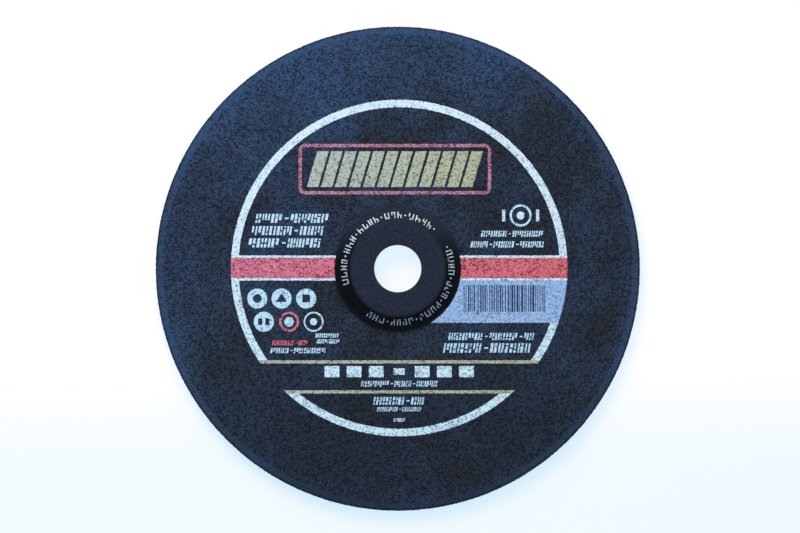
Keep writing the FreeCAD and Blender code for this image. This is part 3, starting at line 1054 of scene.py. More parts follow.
@dataclass
class GrindingWheel:
    """The wheel itself, moulded of coarse black grain round the steel ring's seat."""

    STRETCHES: ClassVar[dict[Zone, Stretch]] = {
        Zone.HUB: Stretch(0.95, 0.03, Side.LABEL),
        Zone.FACE: Stretch(1.15, 0.16, Side.LABEL),
        Zone.BAND: Stretch(0.7, 0.07, Side.LABEL),
        Zone.RIM: Stretch(0.6, 0.42, Side.RIM),
        Zone.BACK: Stretch(1.35, 0.22, Side.GRINDING),
        Zone.SEAT: Stretch(1.6, 0.0, Side.GRINDING),
    }

    wheel_radius: float = 115.0
    thickness: float = 7.0
    rim_band_radius: float = 111.4
    rim_band_drop: float = 0.3
    band_blend: float = 2.0
    rim_chamfer: float = 0.6
    rim_band_rise: float = 0.05
    rim_blend: float = 0.5
    lower_chamfer: float = 0.4
    edge_blend: float = 0.3
    hub_height: float = 11.0
    hub_land: float = 22.4
    hub_foot: float = 28.33
    shoulder_blend: float = 8.5
    foot_blend: float = 3.0
    recess_depth: float = 4.6
    recess_floor: float = 22.0
    recess_mouth: float = 28.82
    mouth_blend: float = 3.0
    floor_blend: float = 2.0
    pocket_radius: float = 16.02
    pocket_height: float = 5.12
    hole_radius: float = 11.635
    seed: int = 230
    least_points: int = 96
    looseness: float = 0.3
    sinking: Pair = (1.3, 2.2)

    def section(self) -> Section:
        """Draw the section from the top of the hole outwards, and back under the wheel.

        Returns:
            The section.
        """
        rim, band_painted_shade = self.wheel_radius, self.thickness - self.rim_band_drop
        corners = (
            Corner(self.hole_radius, self.hub_height, self.edge_blend, Zone.HUB),
            Corner(self.hub_land, self.hub_height, self.shoulder_blend, Zone.HUB),
            Corner(self.hub_foot, self.thickness, self.foot_blend, Zone.FACE),
            Corner(self.rim_band_radius, self.thickness, self.band_blend, Zone.BAND),
            Corner(rim - self.rim_chamfer, band_painted_shade + self.rim_band_rise, self.rim_blend, Zone.RIM),
            Corner(rim, band_painted_shade - self.rim_chamfer, self.rim_blend, Zone.RIM),
            Corner(rim, self.lower_chamfer, self.edge_blend, Zone.RIM),
            Corner(rim - self.lower_chamfer, 0.0, self.edge_blend, Zone.BACK),
            Corner(self.recess_mouth, 0.0, self.mouth_blend, Zone.BACK),
            Corner(self.recess_floor, self.recess_depth, self.floor_blend, Zone.BACK),
            Corner(self.pocket_radius, self.recess_depth, 0.0, Zone.SEAT),
            Corner(self.pocket_radius, self.pocket_height, 0.0, Zone.SEAT),
            Corner(self.hole_radius, self.pocket_height, 0.0, Zone.SEAT),
        )
        return Section(corners, lambda zone: self.STRETCHES[zone].spacing)

    def label_heights(self, radii: np.ndarray) -> np.ndarray:
        """Give the heights of the smooth label side.

        Args:
            radii: the distances from the axis that are asked for.

        Returns:
            A height a distance.
        """
        stations, zones = self.section().stations(), (Zone.HUB, Zone.FACE)
        top = [station for station in stations if station.zone in zones and station.facing[1] > 0.5]
        return np.interp(radii, [station.radius for station in top], [station.height for station in top])

    def ring(self, station: Station, chance: np.random.Generator) -> tuple[np.ndarray, np.ndarray]:
        """Scatter points round the axis at one station, sunk into the surface by the grain's relief.

        Args:
            station: the point of the section that is turned.
            chance: the source of the chance values.

        Returns:
            One row of x, y and z a point, and the points' angles from small to large.
        """
        stretch = self.STRETCHES[station.zone]
        count = max(self.least_points, round(FULL_TURN * station.radius / stretch.spacing))
        loose = self.looseness if stretch.depth else 0.0
        turns = np.arange(count) + chance.uniform(-loose, loose, count)
        if stretch.depth:
            turns += chance.uniform()
        angles = np.sort(turns * FULL_TURN / count % FULL_TURN)
        sunk = stretch.depth * chance.beta(*self.sinking, count)
        radii = station.radius - station.facing[0] * sunk
        heights = station.height - station.facing[1] * sunk
        return turned(radii, heights, angles), angles

    def build(self) -> bpy.types.Object:
        """Make the wheel: rings of scattered points, and the strips between them.

        Returns:
            The wheel.
        """
        chance = np.random.default_rng(self.seed)
        stations = self.section().stations()
        rows, rings = zip(*(self.ring(station, chance) for station in stations))
        starts = np.cumsum([0, *(len(ring) for ring in rings)]).tolist()
        triangles: list[Triangle] = []
        parts: list[int] = []
        for place, station in enumerate(stations):
            following = (place + 1) % len(stations)
            strip = stitch(rings[place], rings[following], starts[place], starts[following])
            triangles.extend(strip)
            parts.extend([self.STRETCHES[station.zone].side.value] * len(strip))
        wheel = add_object("moulded_wheel", np.vstack(rows), triangles)
        wheel.data.polygons.foreach_set("material_index", parts)
        return wheel

    def dress(self, wheel: bpy.types.Object) -> None:
        """Give the label side, the rim and the grinding side their finishes.

        Args:
            wheel: the wheel.
        """
        rim_light, rim_dark = Colour(40, 54, 80), Colour(22, 26, 34)
        back_light, back_dark = Colour(42, 48, 58), Colour(25, 27, 31)
        # The grinding side takes none of the painted sheen.
        even = {"painted_sheen_strength": 0.0, "rim_tone_and_sheen_strength": 0.0}
        finishes = {
            Side.LABEL: LabelFace("label_side_grain"),
            # The rim takes the same painted sheen as the label side.
            Side.RIM: MouldedGrain("rim_grain", rim_light, rim_dark, relief=0.5, grain=0.8),
            Side.GRINDING: NettedBack("grinding_side_grain", back_light, back_dark, **even),
        }
        for side in Side:
            wheel.data.materials.append(finishes[side].material())
        adopt(wheel, "bonded_grain", "abrasive_wheel")


@dataclass
class BoreRing:
    """The pressed ring that lines the bore, with its flange in the floor of the recess."""

    bore_radius: float = 11.115
    tube_radius: float = 11.615
    flange_radius: float = 16.0
    low: float = 4.6
    flange_top: float = 5.1
    top: float = 10.8
    lip_blend: float = 0.14
    inner_bend: float = 0.6
    outer_bend: float = 1.1
    flange_top_blend: float = 0.12
    flange_low_blend: float = 0.16
    spacing: float = 0.9
    segments: int = 240

    def build(self) -> bpy.types.Object:
        """Turn the ring's section about the axis.

        Returns:
            The ring.
        """
        corners = (
            Corner(self.bore_radius, self.top, self.lip_blend, Zone.SEAT),
            Corner(self.tube_radius, self.top, self.lip_blend, Zone.SEAT),
            Corner(self.tube_radius, self.flange_top, self.inner_bend, Zone.SEAT),
            Corner(self.flange_radius, self.flange_top, self.flange_top_blend, Zone.SEAT),
            Corner(self.flange_radius, self.low, self.flange_low_blend, Zone.SEAT),
            Corner(self.bore_radius, self.low, self.outer_bend, Zone.SEAT),
        )
        stations = Section(corners, lambda zone: self.spacing).stations()
        angles = np.arange(self.segments) * FULL_TURN / self.segments
        faces = []
        for place in range(len(stations)):
            here, there = place * self.segments, (place + 1) % len(stations) * self.segments
            for step in range(self.segments):
                after = (step + 1) % self.segments
                faces.append((here + step, there + step, there + after, here + after))
        points = np.vstack([turned(station.radius, station.height, angles) for station in stations])
        return add_object("pressed_ring", points, faces)

    def dress(self, ring: bpy.types.Object) -> None:
        """Plate the ring and let it stand for the node."""
        ring.data.materials.append(PressedSteel().material())
        adopt(ring, "ring_steel", "bore_ring")


@dataclass
class Outline:
    """A flat closed line, drawn point by point in short steps."""

    step: float = 0.8
    points: list[Point] = field(default_factory=list)

    def line(self, *stops: Point) -> Outline:
        """Draw straight runs through some stops.

        Args:
            stops: the ends of the runs, of which the last isn't drawn itself.

        Returns:
            The outline.
        """
        for here, there in zip(stops, stops[1:]):
            steps = max(1, round(math.dist(here, there) / self.step))
            for place in range(steps):
                share = place / steps
                x, y = (start + (end - start) * share for start, end in zip(here, there))
                self.points.append((x, y))
        return self

    def arc(self, radius: float, start: float, end: float, centre: Point = (0.0, 0.0)) -> Outline:
        """Draw an arc, all but its last point.

        Args:
            radius: the arc's radius.
            start: the angle where it starts, in radians.
            end: the angle where it ends.
            centre: its centre.

        Returns:
            The outline.
        """
        steps = max(3, round(abs(end - start) * radius / self.step))
        for place in range(steps):
            angle = start + (end - start) * place / steps
            self.points.append((centre[0] + radius * math.cos(angle), centre[1] + radius * math.sin(angle)))
        return self

    def box(self, left: float, low: float, right: float, high: float, corner: float = 0.0) -> Outline:
        """Draw an upright box.

        Args:
            left: its left side.
            low: its foot.
            right: its right side.
            high: its head.
            corner: the radius of its corners, which are sharp at 0.

        Returns:
            The outline.
        """
        if not corner:
            return self.line((left, low), (right, low), (right, high), (left, high), (left, low))
        sides, levels = (left + corner, right - corner), (low + corner, high - corner)
        spots = ((sides[1], levels[1]), (sides[0], levels[1]), (sides[0], levels[0]), (sides[1], levels[0]))
        for turn, (x, y) in enumerate(spots):
            start, end = turn * math.pi / 2, (turn + 1) * math.pi / 2
            self.arc(corner, start, end, (x, y))
            onward = spots[(turn + 1) % len(spots)]
            reach = (corner * math.cos(end), corner * math.sin(end))
            self.line((x + reach[0], y + reach[1]), (onward[0] + reach[0], onward[1] + reach[1]))
        return self

    def rough(self, chance: np.random.Generator, amount: float) -> list[Point]:
        """Move each point a little, as ink bleeds and breaks on grain.

        Args:
            chance: the source of the chance values.
            amount: how far a point may move each way.

        Returns:
            The moved points.
        """
        moved = np.array(self.points) + chance.uniform(-amount, amount, (len(self.points), 2))
        return [(float(x), float(y)) for x, y in moved]


def inside(loops: Sequence[Sequence[Point]], spots: np.ndarray) -> np.ndarray:
    """Tell which spots lie within an odd number of loops.

    Args:
        loops: closed outlines.
        spots: one row of x and y a spot.

    Returns:
        True or False a spot.
    """
    odd = np.zeros(len(spots), bool)
    for loop in loops:
        corners = np.array(loop)
        following = np.roll(corners, -1, axis=0)
        for (x0, y0), (x1, y1) in zip(corners, following):
            crosses = (y0 > spots[:, 1]) != (y1 > spots[:, 1])
            if y1 != y0:
                odd ^= crosses & (spots[:, 0] < x0 + (spots[:, 1] - y0) * (x1 - x0) / (y1 - y0))
    return odd


@dataclass
class Film:
    """One closed film of ink, laid on a surface region by region."""

    bottom: float = 7.0
    thickness: float = 0.04
    shift: Point = PRINT_CENTRE
    surface: Callable[[float, float], float] | None = None
    points: list[Place] = field(default_factory=list)
    faces: list[tuple[int, ...]] = field(default_factory=list)

    def lay(self, outer: Sequence[Point], *holes: Sequence[Point]) -> None:
        """Add a region.

        Args:
            outer: the region's outline.
            holes: the outlines of what it leaves bare.
        """
        loops = [outer, *holes]
        corners = [point for loop in loops for point in loop]
        edges, start = [], 0
        for loop in loops:
            edges += [(start + k, start + (k + 1) % len(loop)) for k in range(len(loop))]
            start += len(loop)
        spots, _, triangles, *_ = geometry.delaunay_2d_cdt(corners, edges, [], 0, MERGE_DISTANCE)
        flat = np.array([(spot[0], spot[1]) for spot in spots])
        kept = np.array([tuple(triangle) for triangle in triangles])
        kept = kept[inside(loops, flat[kept].mean(axis=1))]
        self.raise_film(flat, kept)

    def raise_film(self, flat: np.ndarray, triangles: np.ndarray) -> None:
        """Give a flat region its top, its bottom and the edge between them.

        Args:
            flat: one row of x and y a point.
            triangles: the region's triangles, seen from above in counter-clockwise order.
        """
        first, count = len(self.points), len(flat)
        placed = flat + np.array(self.shift)
        base = [self.surface(x, y) if self.surface else self.bottom for x, y in placed]
        for lift in (self.thickness, 0.0):
            self.points += [(float(x), float(y), z + lift) for (x, y), z in zip(placed, base)]
        directed = set()
        for a, b, c in triangles.tolist():
            self.faces.append((first + a, first + b, first + c))
            self.faces.append((first + count + c, first + count + b, first + count + a))
            directed |= {(a, b), (b, c), (c, a)}
        for a, b in sorted(directed):
            if (b, a) not in directed:
                self.faces.append((first + count + a, first + count + b, first + b, first + a))

    def build(self, name: str, finish: PrintedInk, *nodes: str) -> bpy.types.Object:
        """Make the film's object, dress it and let it ride on the wheel.

        Args:
            name: the object's name.
            finish: its ink.
            nodes: the CAD nodes that it stands for.

        Returns:
            The object.
        """
        used = sorted({corner for face in self.faces for corner in face})
        fresh = {old: new for new, old in enumerate(used)}
        faces = [tuple(fresh[corner] for corner in face) for face in self.faces]
        film = add_object(name, np.array([self.points[old] for old in used]), faces)
        film.data.materials.append(finish.material())
        adopt(film, finish.ink.value, *nodes)
        return film


@dataclass
class PrintedFields:
    """The broad forms of the label: its ring, band, panel, lines, framed plaque and row of blocks."""

    radius: float = 79.8
    ring_inside: float = 76.25
    free_radius: float = 30.0
    band_half: float = 4.8
    band_edge: float = 5.95
    panel_bottom: float = -26.0
    bars_box: Box = (30.6, -20.8, 69.6, -8.1)
    long_bar_foot: float = -22.2
    long_bar_share: float = 0.12
    bar_widths: Sequence[Pair] = ((0.34, 0.4), (0.46, 0.3), (0.62, 0.2), (0.9, 0.1))
    bar_gaps: Sequence[Pair] = ((0.4, 0.45), (0.55, 0.35), (0.85, 0.2))
    gold_upper: float = -43.8
    gold_lower: float = -58.0
    gold_width: float = 1.5
    plaque: Box = (-47.72, 34.9, 43.62, 58.85)
    plaque_corner: float = 3.0
    plaque_frame: float = 1.6
    plaque_margin: float = 1.9
    stripes: int = 12
    stripe_width: float = 5.4
    stripe_gap: float = 1.25
    stripe_lean: float = 5.0
    block_top: float = -46.5
    block_size: Pair = (7.0, 5.3)
    block_gap: float = 3.5
    blocks_a_side: int = 3
    middle_block: Pair = (5.2, 3.0)
    middle_block_gap: float = 4.8
    rough: float = 0.1
    seed: int = 76

    def __post_init__(self) -> None:
        """Start the chance values."""
        self.chance = np.random.default_rng(self.seed)

    @staticmethod
    def on(radius: float, level: float, side: int = 1) -> Point:
        """Give the point of a circle at a height, on the right or, with a side of -1, on the left."""
        return side * math.sqrt(radius * radius - level * level), level

    @staticmethod
    def angle(radius: float, level: float, side: int = 1) -> float:
        """Give the angle of that point."""
        right = math.asin(level / radius)
        return right if side > 0 else math.pi - right

    def clear(self, level: float, side: int) -> Point:
        """Give the point of the bare circle round the wheel's axis at a height in the print, on one side."""
        across, up = PRINT_CENTRE
        return self.on(self.free_radius, level + up, side)[0] - across, level

    def roughened(self, path: Outline) -> list[Point]:
        """Give an outline's points as the ink leaves them."""
        return path.rough(self.chance, self.rough)

    def strip(self, low: float, high: float, side: int) -> list[Point]:
        """Outline what lies between two heights, from the hub to the print's edge.

        Args:
            low: the lower height.
            high: the upper height.
            side: 1 for the right of the hub and -1 for its left.

        Returns:
            The strip's rough outline.
        """
        across, up = PRINT_CENTRE
        path = Outline().line(self.clear(low, side), self.on(self.radius, low, side))
        path.arc(self.radius, *(self.angle(self.radius, level, side) for level in (low, high)))
        path.line(self.on(self.radius, high, side), self.clear(high, side))
        ends = [self.angle(self.free_radius, level + up, side) for level in (high, low)]
        path.arc(self.free_radius, *ends, centre=(-across, -up))
        return self.roughened(path)

    def ring_part(
        self, outer: Sequence[End], inner: Sequence[End], onward: Sequence[End] = (), back: Sequence[End] = ()
    ) -> list[Point]:
        """Outline a part of the ring, and of the lines that run from it to the hub's bare circle.

        Each end is a height in the print and a side, which is 1 for the right and -1 for the left.

        Args:
            outer: the ends of the outer arc, drawn against the clock.
            inner: the ends of the inner arc, drawn with the clock.
            onward: the ends on the bare circle between the outer arc and the inner one.
            back: the ends on the bare circle on the way back.

        Returns:
            The part's rough outline.
        """
        out, within = self.radius, self.ring_inside
        passed, returned = ([self.clear(*spot) for spot in spots] for spots in (onward, back))
        start, end = (self.angle(out, *spot) for spot in outer)
        path = Outline().arc(out, start if start < end else start - FULL_TURN, end)
        path.line(self.on(out, *outer[1]), *passed, self.on(within, *inner[0]))
        start, end = (self.angle(within, *spot) for spot in inner)
        path.arc(within, start, end if end < start else end - FULL_TURN)
        path.line(self.on(within, *inner[1]), *returned, self.on(out, *outer[0]))
        return self.roughened(path)

    def white_parts(self) -> list[list[Point]]:
        """Outline the ring, which gaps divide, with the lines over and under the band.

        Returns:
            The parts' rough outlines.
        """
        half, edge, panel, gold = self.band_half, self.band_edge, self.panel_bottom, self.gold_upper
        foot = self.gold_lower - self.gold_width
        over_left, over_right = ((half, -1), (edge, -1)), ((edge, 1), (half, 1))
        under_left = ((-edge, -1), (-half, -1))
        return [
            self.ring_part(((half, 1), (half, -1)), ((edge, -1), (edge, 1)), over_left, over_right),
            self.ring_part(((-half, -1), (gold, -1)), ((gold, -1), (-edge, -1)), back=under_left),
            self.strip(-edge, -half, 1),
            self.ring_part(((gold, 1), (panel, 1)), ((panel, 1), (gold, 1))),
            self.ring_part(((foot, -1), (foot, 1)), ((foot, 1), (foot, -1))),
        ]

    def gold_line(self, level: float) -> list[Point]:
        """Outline a gold line that hangs from a height, out to the print's edge.

        Args:
            level: the height.

        Returns:
            The line's rough outline.
        """
        ends = ((level - self.gold_width, -1), (level - self.gold_width, 1), (level, 1), (level, -1))
        spots = [self.on(self.radius, height, side) for height, side in ends]
        return self.roughened(Outline().line(*spots, spots[0]))

    def pick(self, choices: Sequence[Pair]) -> float:
        """Pick one of some values by chance, each with its share."""
        values, shares = zip(*choices)
        return float(self.chance.choice(values, p=shares))

    def panel_bars(self) -> list[list[Point]]:
        """Draw the upright bars of many widths that the panel leaves bare.

        Returns:
            The bars' outlines.
        """
        x, foot, right, head = self.bars_box
        bars = []
        while x < right:
            wide = self.pick(self.bar_widths)
            low = foot if self.chance.uniform() > self.long_bar_share else self.long_bar_foot
            bars.append([(x, low), (x + wide, low), (x + wide, head), (x, head)])
            x += wide + self.pick(self.bar_gaps)
        return bars

    def frame_plaque(self, red: Film, gold: Film) -> None:
        """Print the plaque over the hub: a red frame round a row of slanting gold stripes.

        Args:
            red: the film of the frame.
            gold: the film of the stripes.
        """
        left, low, right, high = self.plaque
        width, lean = self.plaque_frame, self.stripe_lean
        plate = Outline().box(left, low, right, high, self.plaque_corner)
        sides = (left + width, low + width, right - width, high - width)
        window = Outline().box(*sides, self.plaque_corner - width)
        red.lay(self.roughened(plate), self.roughened(window))
        inset, pitch = width + self.plaque_margin, self.stripe_width + self.stripe_gap
        row = self.stripes * pitch - self.stripe_gap + lean
        foot, head = low + inset, high - inset
        for place in range(self.stripes):
            start = (left + right - row) / 2 + place * pitch
            end = start + self.stripe_width
            spots = ((start, foot), (end, foot), (end + lean, head), (start + lean, head), (start, foot))
            gold.lay(self.roughened(Outline().line(*spots)))

    def blocks(self, white: Film) -> None:
        """Print the row of blocks between the gold lines, with a small one in its middle.

        Args:
            white: the film of the blocks.
        """
        (wide, tall), (half_width, half_height) = self.block_size, (part / 2 for part in self.middle_block)
        top, middle = self.block_top, self.block_top - tall / 2
        spots = [(-half_width, middle - half_height, half_width, middle + half_height)]
        for place in range(self.blocks_a_side):
            near = half_width + self.middle_block_gap + place * (wide + self.block_gap)
            spots += [(near, top - tall, near + wide, top), (-near - wide, top - tall, -near, top)]
        for spot in spots:
            white.lay(self.roughened(Outline().box(*spot)))

    def build(self) -> list[bpy.types.Object]:
        """Lay the four films.

        Returns:
            The white, red, blue and gold fields.
        """
        white, red, blue, gold = Film(), Film(), Film(), Film()
        for part in self.white_parts():
            white.lay(part)
        for side in (-1, 1):
            red.lay(self.strip(-self.band_half, self.band_half, side))
        blue.lay(self.strip(self.panel_bottom, -self.band_edge, 1), *self.panel_bars())
        for level in (self.gold_upper, self.gold_lower):
            gold.lay(self.gold_line(level))
        self.frame_plaque(red, gold)
        self.blocks(white)
        return [
            white.build("white_field", INKS[Ink.WHITE], "white_print"),
            red.build("red_field", INKS[Ink.RED], "red_print"),
            blue.build("blue_field", INKS[Ink.BLUE], "blue_print"),
            gold.build("gold_field", INKS[Ink.GOLD], "gold_print"),
        ]


@dataclass(frozen=True)
class MarkRow:
    """A row of slanted strokes in groups, some of them broken, which fills a box as small print would.

    The sizes in capitals are shares of the row's height.
    """

    BREAKS: ClassVar[Sequence[Sequence[Pair]]] = (
        ((0.0, 1.0),),
        ((0.0, 1.0),),
        ((0.0, 1.0),),
        ((0.0, 0.4), (0.56, 1.0)),
        ((0.0, 0.26), (0.42, 1.0)),
        ((0.0, 0.66), (0.8, 1.0)),
        ((0.3, 1.0),),
    )
    WIDTHS: ClassVar[Pair] = (0.16, 0.32)
    GAPS: ClassVar[Pair] = (0.11, 0.19)
    DASH: ClassVar[Pair] = (0.22, 0.62)
    DASH_HALF: ClassVar[float] = 0.09
    DASH_ROOM: ClassVar[float] = 0.86
    END_ROOM: ClassVar[float] = 0.3
    NEW_GROUP_ROOM: ClassVar[float] = 2.0

    left: float
    right: float
    low: float
    high: float
    slant: float = 0.17
    weight: float = 1.0
    ink: Ink = Ink.WHITE
    group: tuple[int, int] = (8, 13)

    def strokes(self, chance: np.random.Generator) -> list[list[Point]]:
        """Draw the strokes from left to right, with a short dash between two groups.

        Args:
            chance: the source of the chance values.

        Returns:
            The strokes' outlines.
        """
        tall = self.high - self.low
        middle = (self.low + self.high) / 2
        drawn, x, left_in_group = [], self.left, int(chance.integers(*self.group))
        while x < self.right - self.END_ROOM * tall:
            wide = tall * float(chance.uniform(*self.WIDTHS)) * self.weight
            for start, end in self.BREAKS[int(chance.integers(len(self.BREAKS)))]:
                drawn.append(self.leaning(x, self.low + start * tall, x + wide, self.low + end * tall))
            x += wide + tall * float(chance.uniform(*self.GAPS))
            left_in_group -= 1
            if not left_in_group and x < self.right - self.NEW_GROUP_ROOM * tall:
                start, end = (x + tall * share for share in self.DASH)
                half = tall * self.DASH_HALF
                drawn.append(self.leaning(start, middle - half, end, middle + half))
                x += tall * self.DASH_ROOM
                left_in_group = int(chance.integers(*self.group))
        return drawn

    def leaning(self, left: float, low: float, right: float, high: float) -> list[Point]:
        """Outline a box that leans to the right with its height in the row."""
        corners = ((left, low), (right, low), (right, high), (left, high))
        return [(x + (y - self.low) * self.slant, y) for x, y in corners]


@dataclass
class PrintedMarks:
    """The small marks within the label."""

    seed: int = 27
    rows: Sequence[MarkRow] = (
        MarkRow(-68.3, -33.6, 21.4, 25.65),
        MarkRow(-70.2, -35.7, 15.6, 19.85),
        MarkRow(-71.7, -36.8, 9.75, 14.05),
        MarkRow(38.7, 68.2, 14.85, 17.65),
        MarkRow(33.8, 68.6, 9.75, 12.65),
        MarkRow(-61.2, -34.8, -40.4, -37.9, weight=1.25),
        MarkRow(-39.8, -28.4, -33.0, -31.0, weight=1.4),
        MarkRow(-39.3, -28.8, -35.8, -33.8, weight=1.4),
        MarkRow(23.2, 64.6, -34.15, -30.8),
        MarkRow(20.8, 63.0, -40.15, -35.7),
        MarkRow(-18.2, 18.0, -56.25, -53.55),
        MarkRow(-12.4, 12.4, -64.8, -61.2),
        MarkRow(-10.6, 10.8, -68.0, -65.95),
        MarkRow(-2.8, 3.2, -72.95, -71.2, weight=1.2),
        MarkRow(-60.4, -43.0, -36.7, -34.3, weight=1.25, ink=Ink.RED),
    )
    sign_radius: float = 4.75
    round_sign: Point = (-67.3, -14.5)
    round_hole: float = 2.1
    wedge_sign: Point = (-55.8, -14.5)
    wedge: Sequence[Point] = ((-58.4, -16.1), (-53.2, -16.1), (-55.8, -11.9))
    square_sign: Point = (-44.1, -14.5)
    square: Box = (-45.9, -16.3, -42.3, -12.7)
    pair_sign: Point = (-64.2, -25.5)
    pair: Sequence[Box] = ((-66.9, -27.1, -64.9, -23.9), (-63.5, -27.1, -61.5, -23.9))
    red_rim_sign: Point = (-52.2, -25.5)
    red_rim: float = 1.1
    red_rim_core: float = 2.3
    white_rim_sign: Point = (-40.6, -25.5)
    white_rim: float = 0.8
    white_rim_core: float = 1.7
    emblem: Point = (57.6, 24.9)
    emblem_radii: Sequence[float] = (5.2, 4.2, 1.9)
    emblem_bars: Sequence[Box] = ((48.8, 22.1, 50.3, 27.7), (64.9, 22.1, 66.4, 27.7))
    round_step: float = 0.55
    round_rough: float = 0.06
    box_rough: float = 0.05
    stroke_rough: float = 0.04

    def __post_init__(self) -> None:
        """Start the chance values."""
        self.chance = np.random.default_rng(self.seed)

    def round(self, centre: Point, radius: float) -> list[Point]:
        """Outline a round spot."""
        path = Outline(self.round_step).arc(radius, 0.0, FULL_TURN, centre)
        return path.rough(self.chance, self.round_rough)

    def box(self, box: Box) -> list[Point]:
        """Outline an upright box."""
        return Outline().box(*box).rough(self.chance, self.box_rough)

    def signs(self, white: Film, red: Film) -> None:
        """Print the two rows of round spots, each with a plain shape left bare in it.

        Args:
            white: the film of the white ink.
            red: the film of the red ink.
        """
        spots: Sequence[tuple[Point, list[Sequence[Point]]]] = (
            (self.round_sign, [self.round(self.round_sign, self.round_hole)]),
            (self.wedge_sign, [self.wedge]),
            (self.square_sign, [self.box(self.square)]),
            (self.pair_sign, [self.box(half) for half in self.pair]),
        )
        for centre, holes in spots:
            white.lay(self.round(centre, self.sign_radius), *holes)
        for centre, film, rim, core in (
            (self.red_rim_sign, red, self.red_rim, self.red_rim_core),
            (self.white_rim_sign, white, self.white_rim, self.white_rim_core),
        ):
            film.lay(self.round(centre, self.sign_radius), self.round(centre, self.sign_radius - rim))
            white.lay(self.round(centre, core))

    def mark(self, white: Film) -> None:
        """Print the small mark at the upper right: a ring with a dot, between two bars.

        Args:
            white: the film of the white ink.
        """
        out, within, dot = self.emblem_radii
        white.lay(self.round(self.emblem, out), self.round(self.emblem, within))
        white.lay(self.round(self.emblem, dot))
        for bar in self.emblem_bars:
            white.lay(self.box(bar))

    def build(self) -> list[bpy.types.Object]:
        """Lay the marks of each colour.

        Returns:
            The white and red marks.
        """
        white, red = Film(), Film()
        for row in self.rows:
            film = red if row.ink is Ink.RED else white
            for stroke in row.strokes(self.chance):
                film.lay(Outline().line(*stroke, stroke[0]).rough(self.chance, self.stroke_rough))
        self.signs(white, red)
        self.mark(white)
        return [white.build("white_marks", MARK_INK), red.build("red_marks", INKS[Ink.RED])]


@dataclass
class HubMarks:
    """The ring of small marks on the slope of the hub: groups of plain signs, with dots between them."""

    wheel: GrindingWheel
    low: float = 24.05
    high: float = 26.95
    arcs: Sequence[Pair] = ((197.0, 45.0), (236.0, 362.0))
    stroke: float = 0.52
    widths: Pair = (1.7, 2.5)
    group: tuple[int, int] = (3, 5)
    cut_shares: Sequence[float] = (0.0, 0.0, 0.45)
    bar_levels: Sequence[float] = (0.0, 0.5, 1.0)
    bar_room: float = 1.25
    sign_gap: float = 1.05
    group_gap: float = 1.7
    dot: float = 0.42
    dot_step: float = 0.3
    lift: float = 0.01
    slope_start: float = 22.0
    slope_end: float = 29.0
    slope_samples: int = 141
    seed: int = 8

    def __post_init__(self) -> None:
        """Start the chance values and the film, which follows the slope."""
        self.chance = np.random.default_rng(self.seed)
        self.radii = np.linspace(self.slope_start, self.slope_end, self.slope_samples)
        self.heights = self.wheel.label_heights(self.radii)
        self.film = Film(shift=(0.0, 0.0), surface=self.slope)

    def slope(self, x: float, y: float) -> float:
        """Give the height of the marks' underside at a place."""
        return float(np.interp(math.hypot(x, y), self.radii, self.heights)) + self.lift

    def build(self) -> bpy.types.Object:
        """Lay the marks on the slope.

        Returns:
            The marks.
        """
        middle = (self.low + self.high) / 2
        for start, end in self.arcs:
            turn = math.copysign(1.0, end - start)
            angle = math.radians(start)
            while (math.radians(end) - angle) * turn > 0.0:
                for _ in range(int(self.chance.integers(*self.group))):
                    wide = float(self.chance.uniform(*self.widths))
                    self.sign(angle, wide * turn / middle, turn)
                    angle += turn * (wide + self.sign_gap) / middle
                angle += turn * (self.group_gap - self.sign_gap) / middle
                spot = Outline(self.dot_step).arc(self.dot, 0.0, FULL_TURN, self.spot(middle, angle))
                self.film.lay(spot.points)
                angle += turn * self.group_gap / middle
        return self.film.build("hub_marks", HUB_INK)

    def sign(self, start: float, wide: float, turn: float) -> None:
        """Lay one sign: two uprights, of which one may be short, and a bar apart from them.

        Args:
            start: the angle where the sign starts, in radians.
            wide: the sign's angle, with the turn's sign.
            turn: 1 against the clock, -1 with it.
        """
        tall = self.high - self.low
        slim = self.stroke * turn / (self.low + tall / 2)
        first, second = (float(self.chance.choice(self.cut_shares)) * tall for _ in range(2))
        end = start + wide
        self.film.lay(self.patch(self.low + first, self.high, start, start + slim))
        self.film.lay(self.patch(self.low, self.high - second, end - slim, end))
        level = self.low + float(self.chance.choice(self.bar_levels)) * (tall - self.stroke)
        room = self.bar_room * slim
        self.film.lay(self.patch(level, level + self.stroke, start + room, end - room))

    @staticmethod
    def spot(radius: float, angle: float) -> Point:
        """Give a place by its distance from the axis and its angle."""
        return radius * math.cos(angle), radius * math.sin(angle)

    def patch(self, low: float, high: float, start: float, end: float) -> list[Point]:
        """Outline a stroke between two radii and two angles."""
        return [self.spot(low, start), self.spot(high, start), self.spot(high, end), self.spot(low, end)]


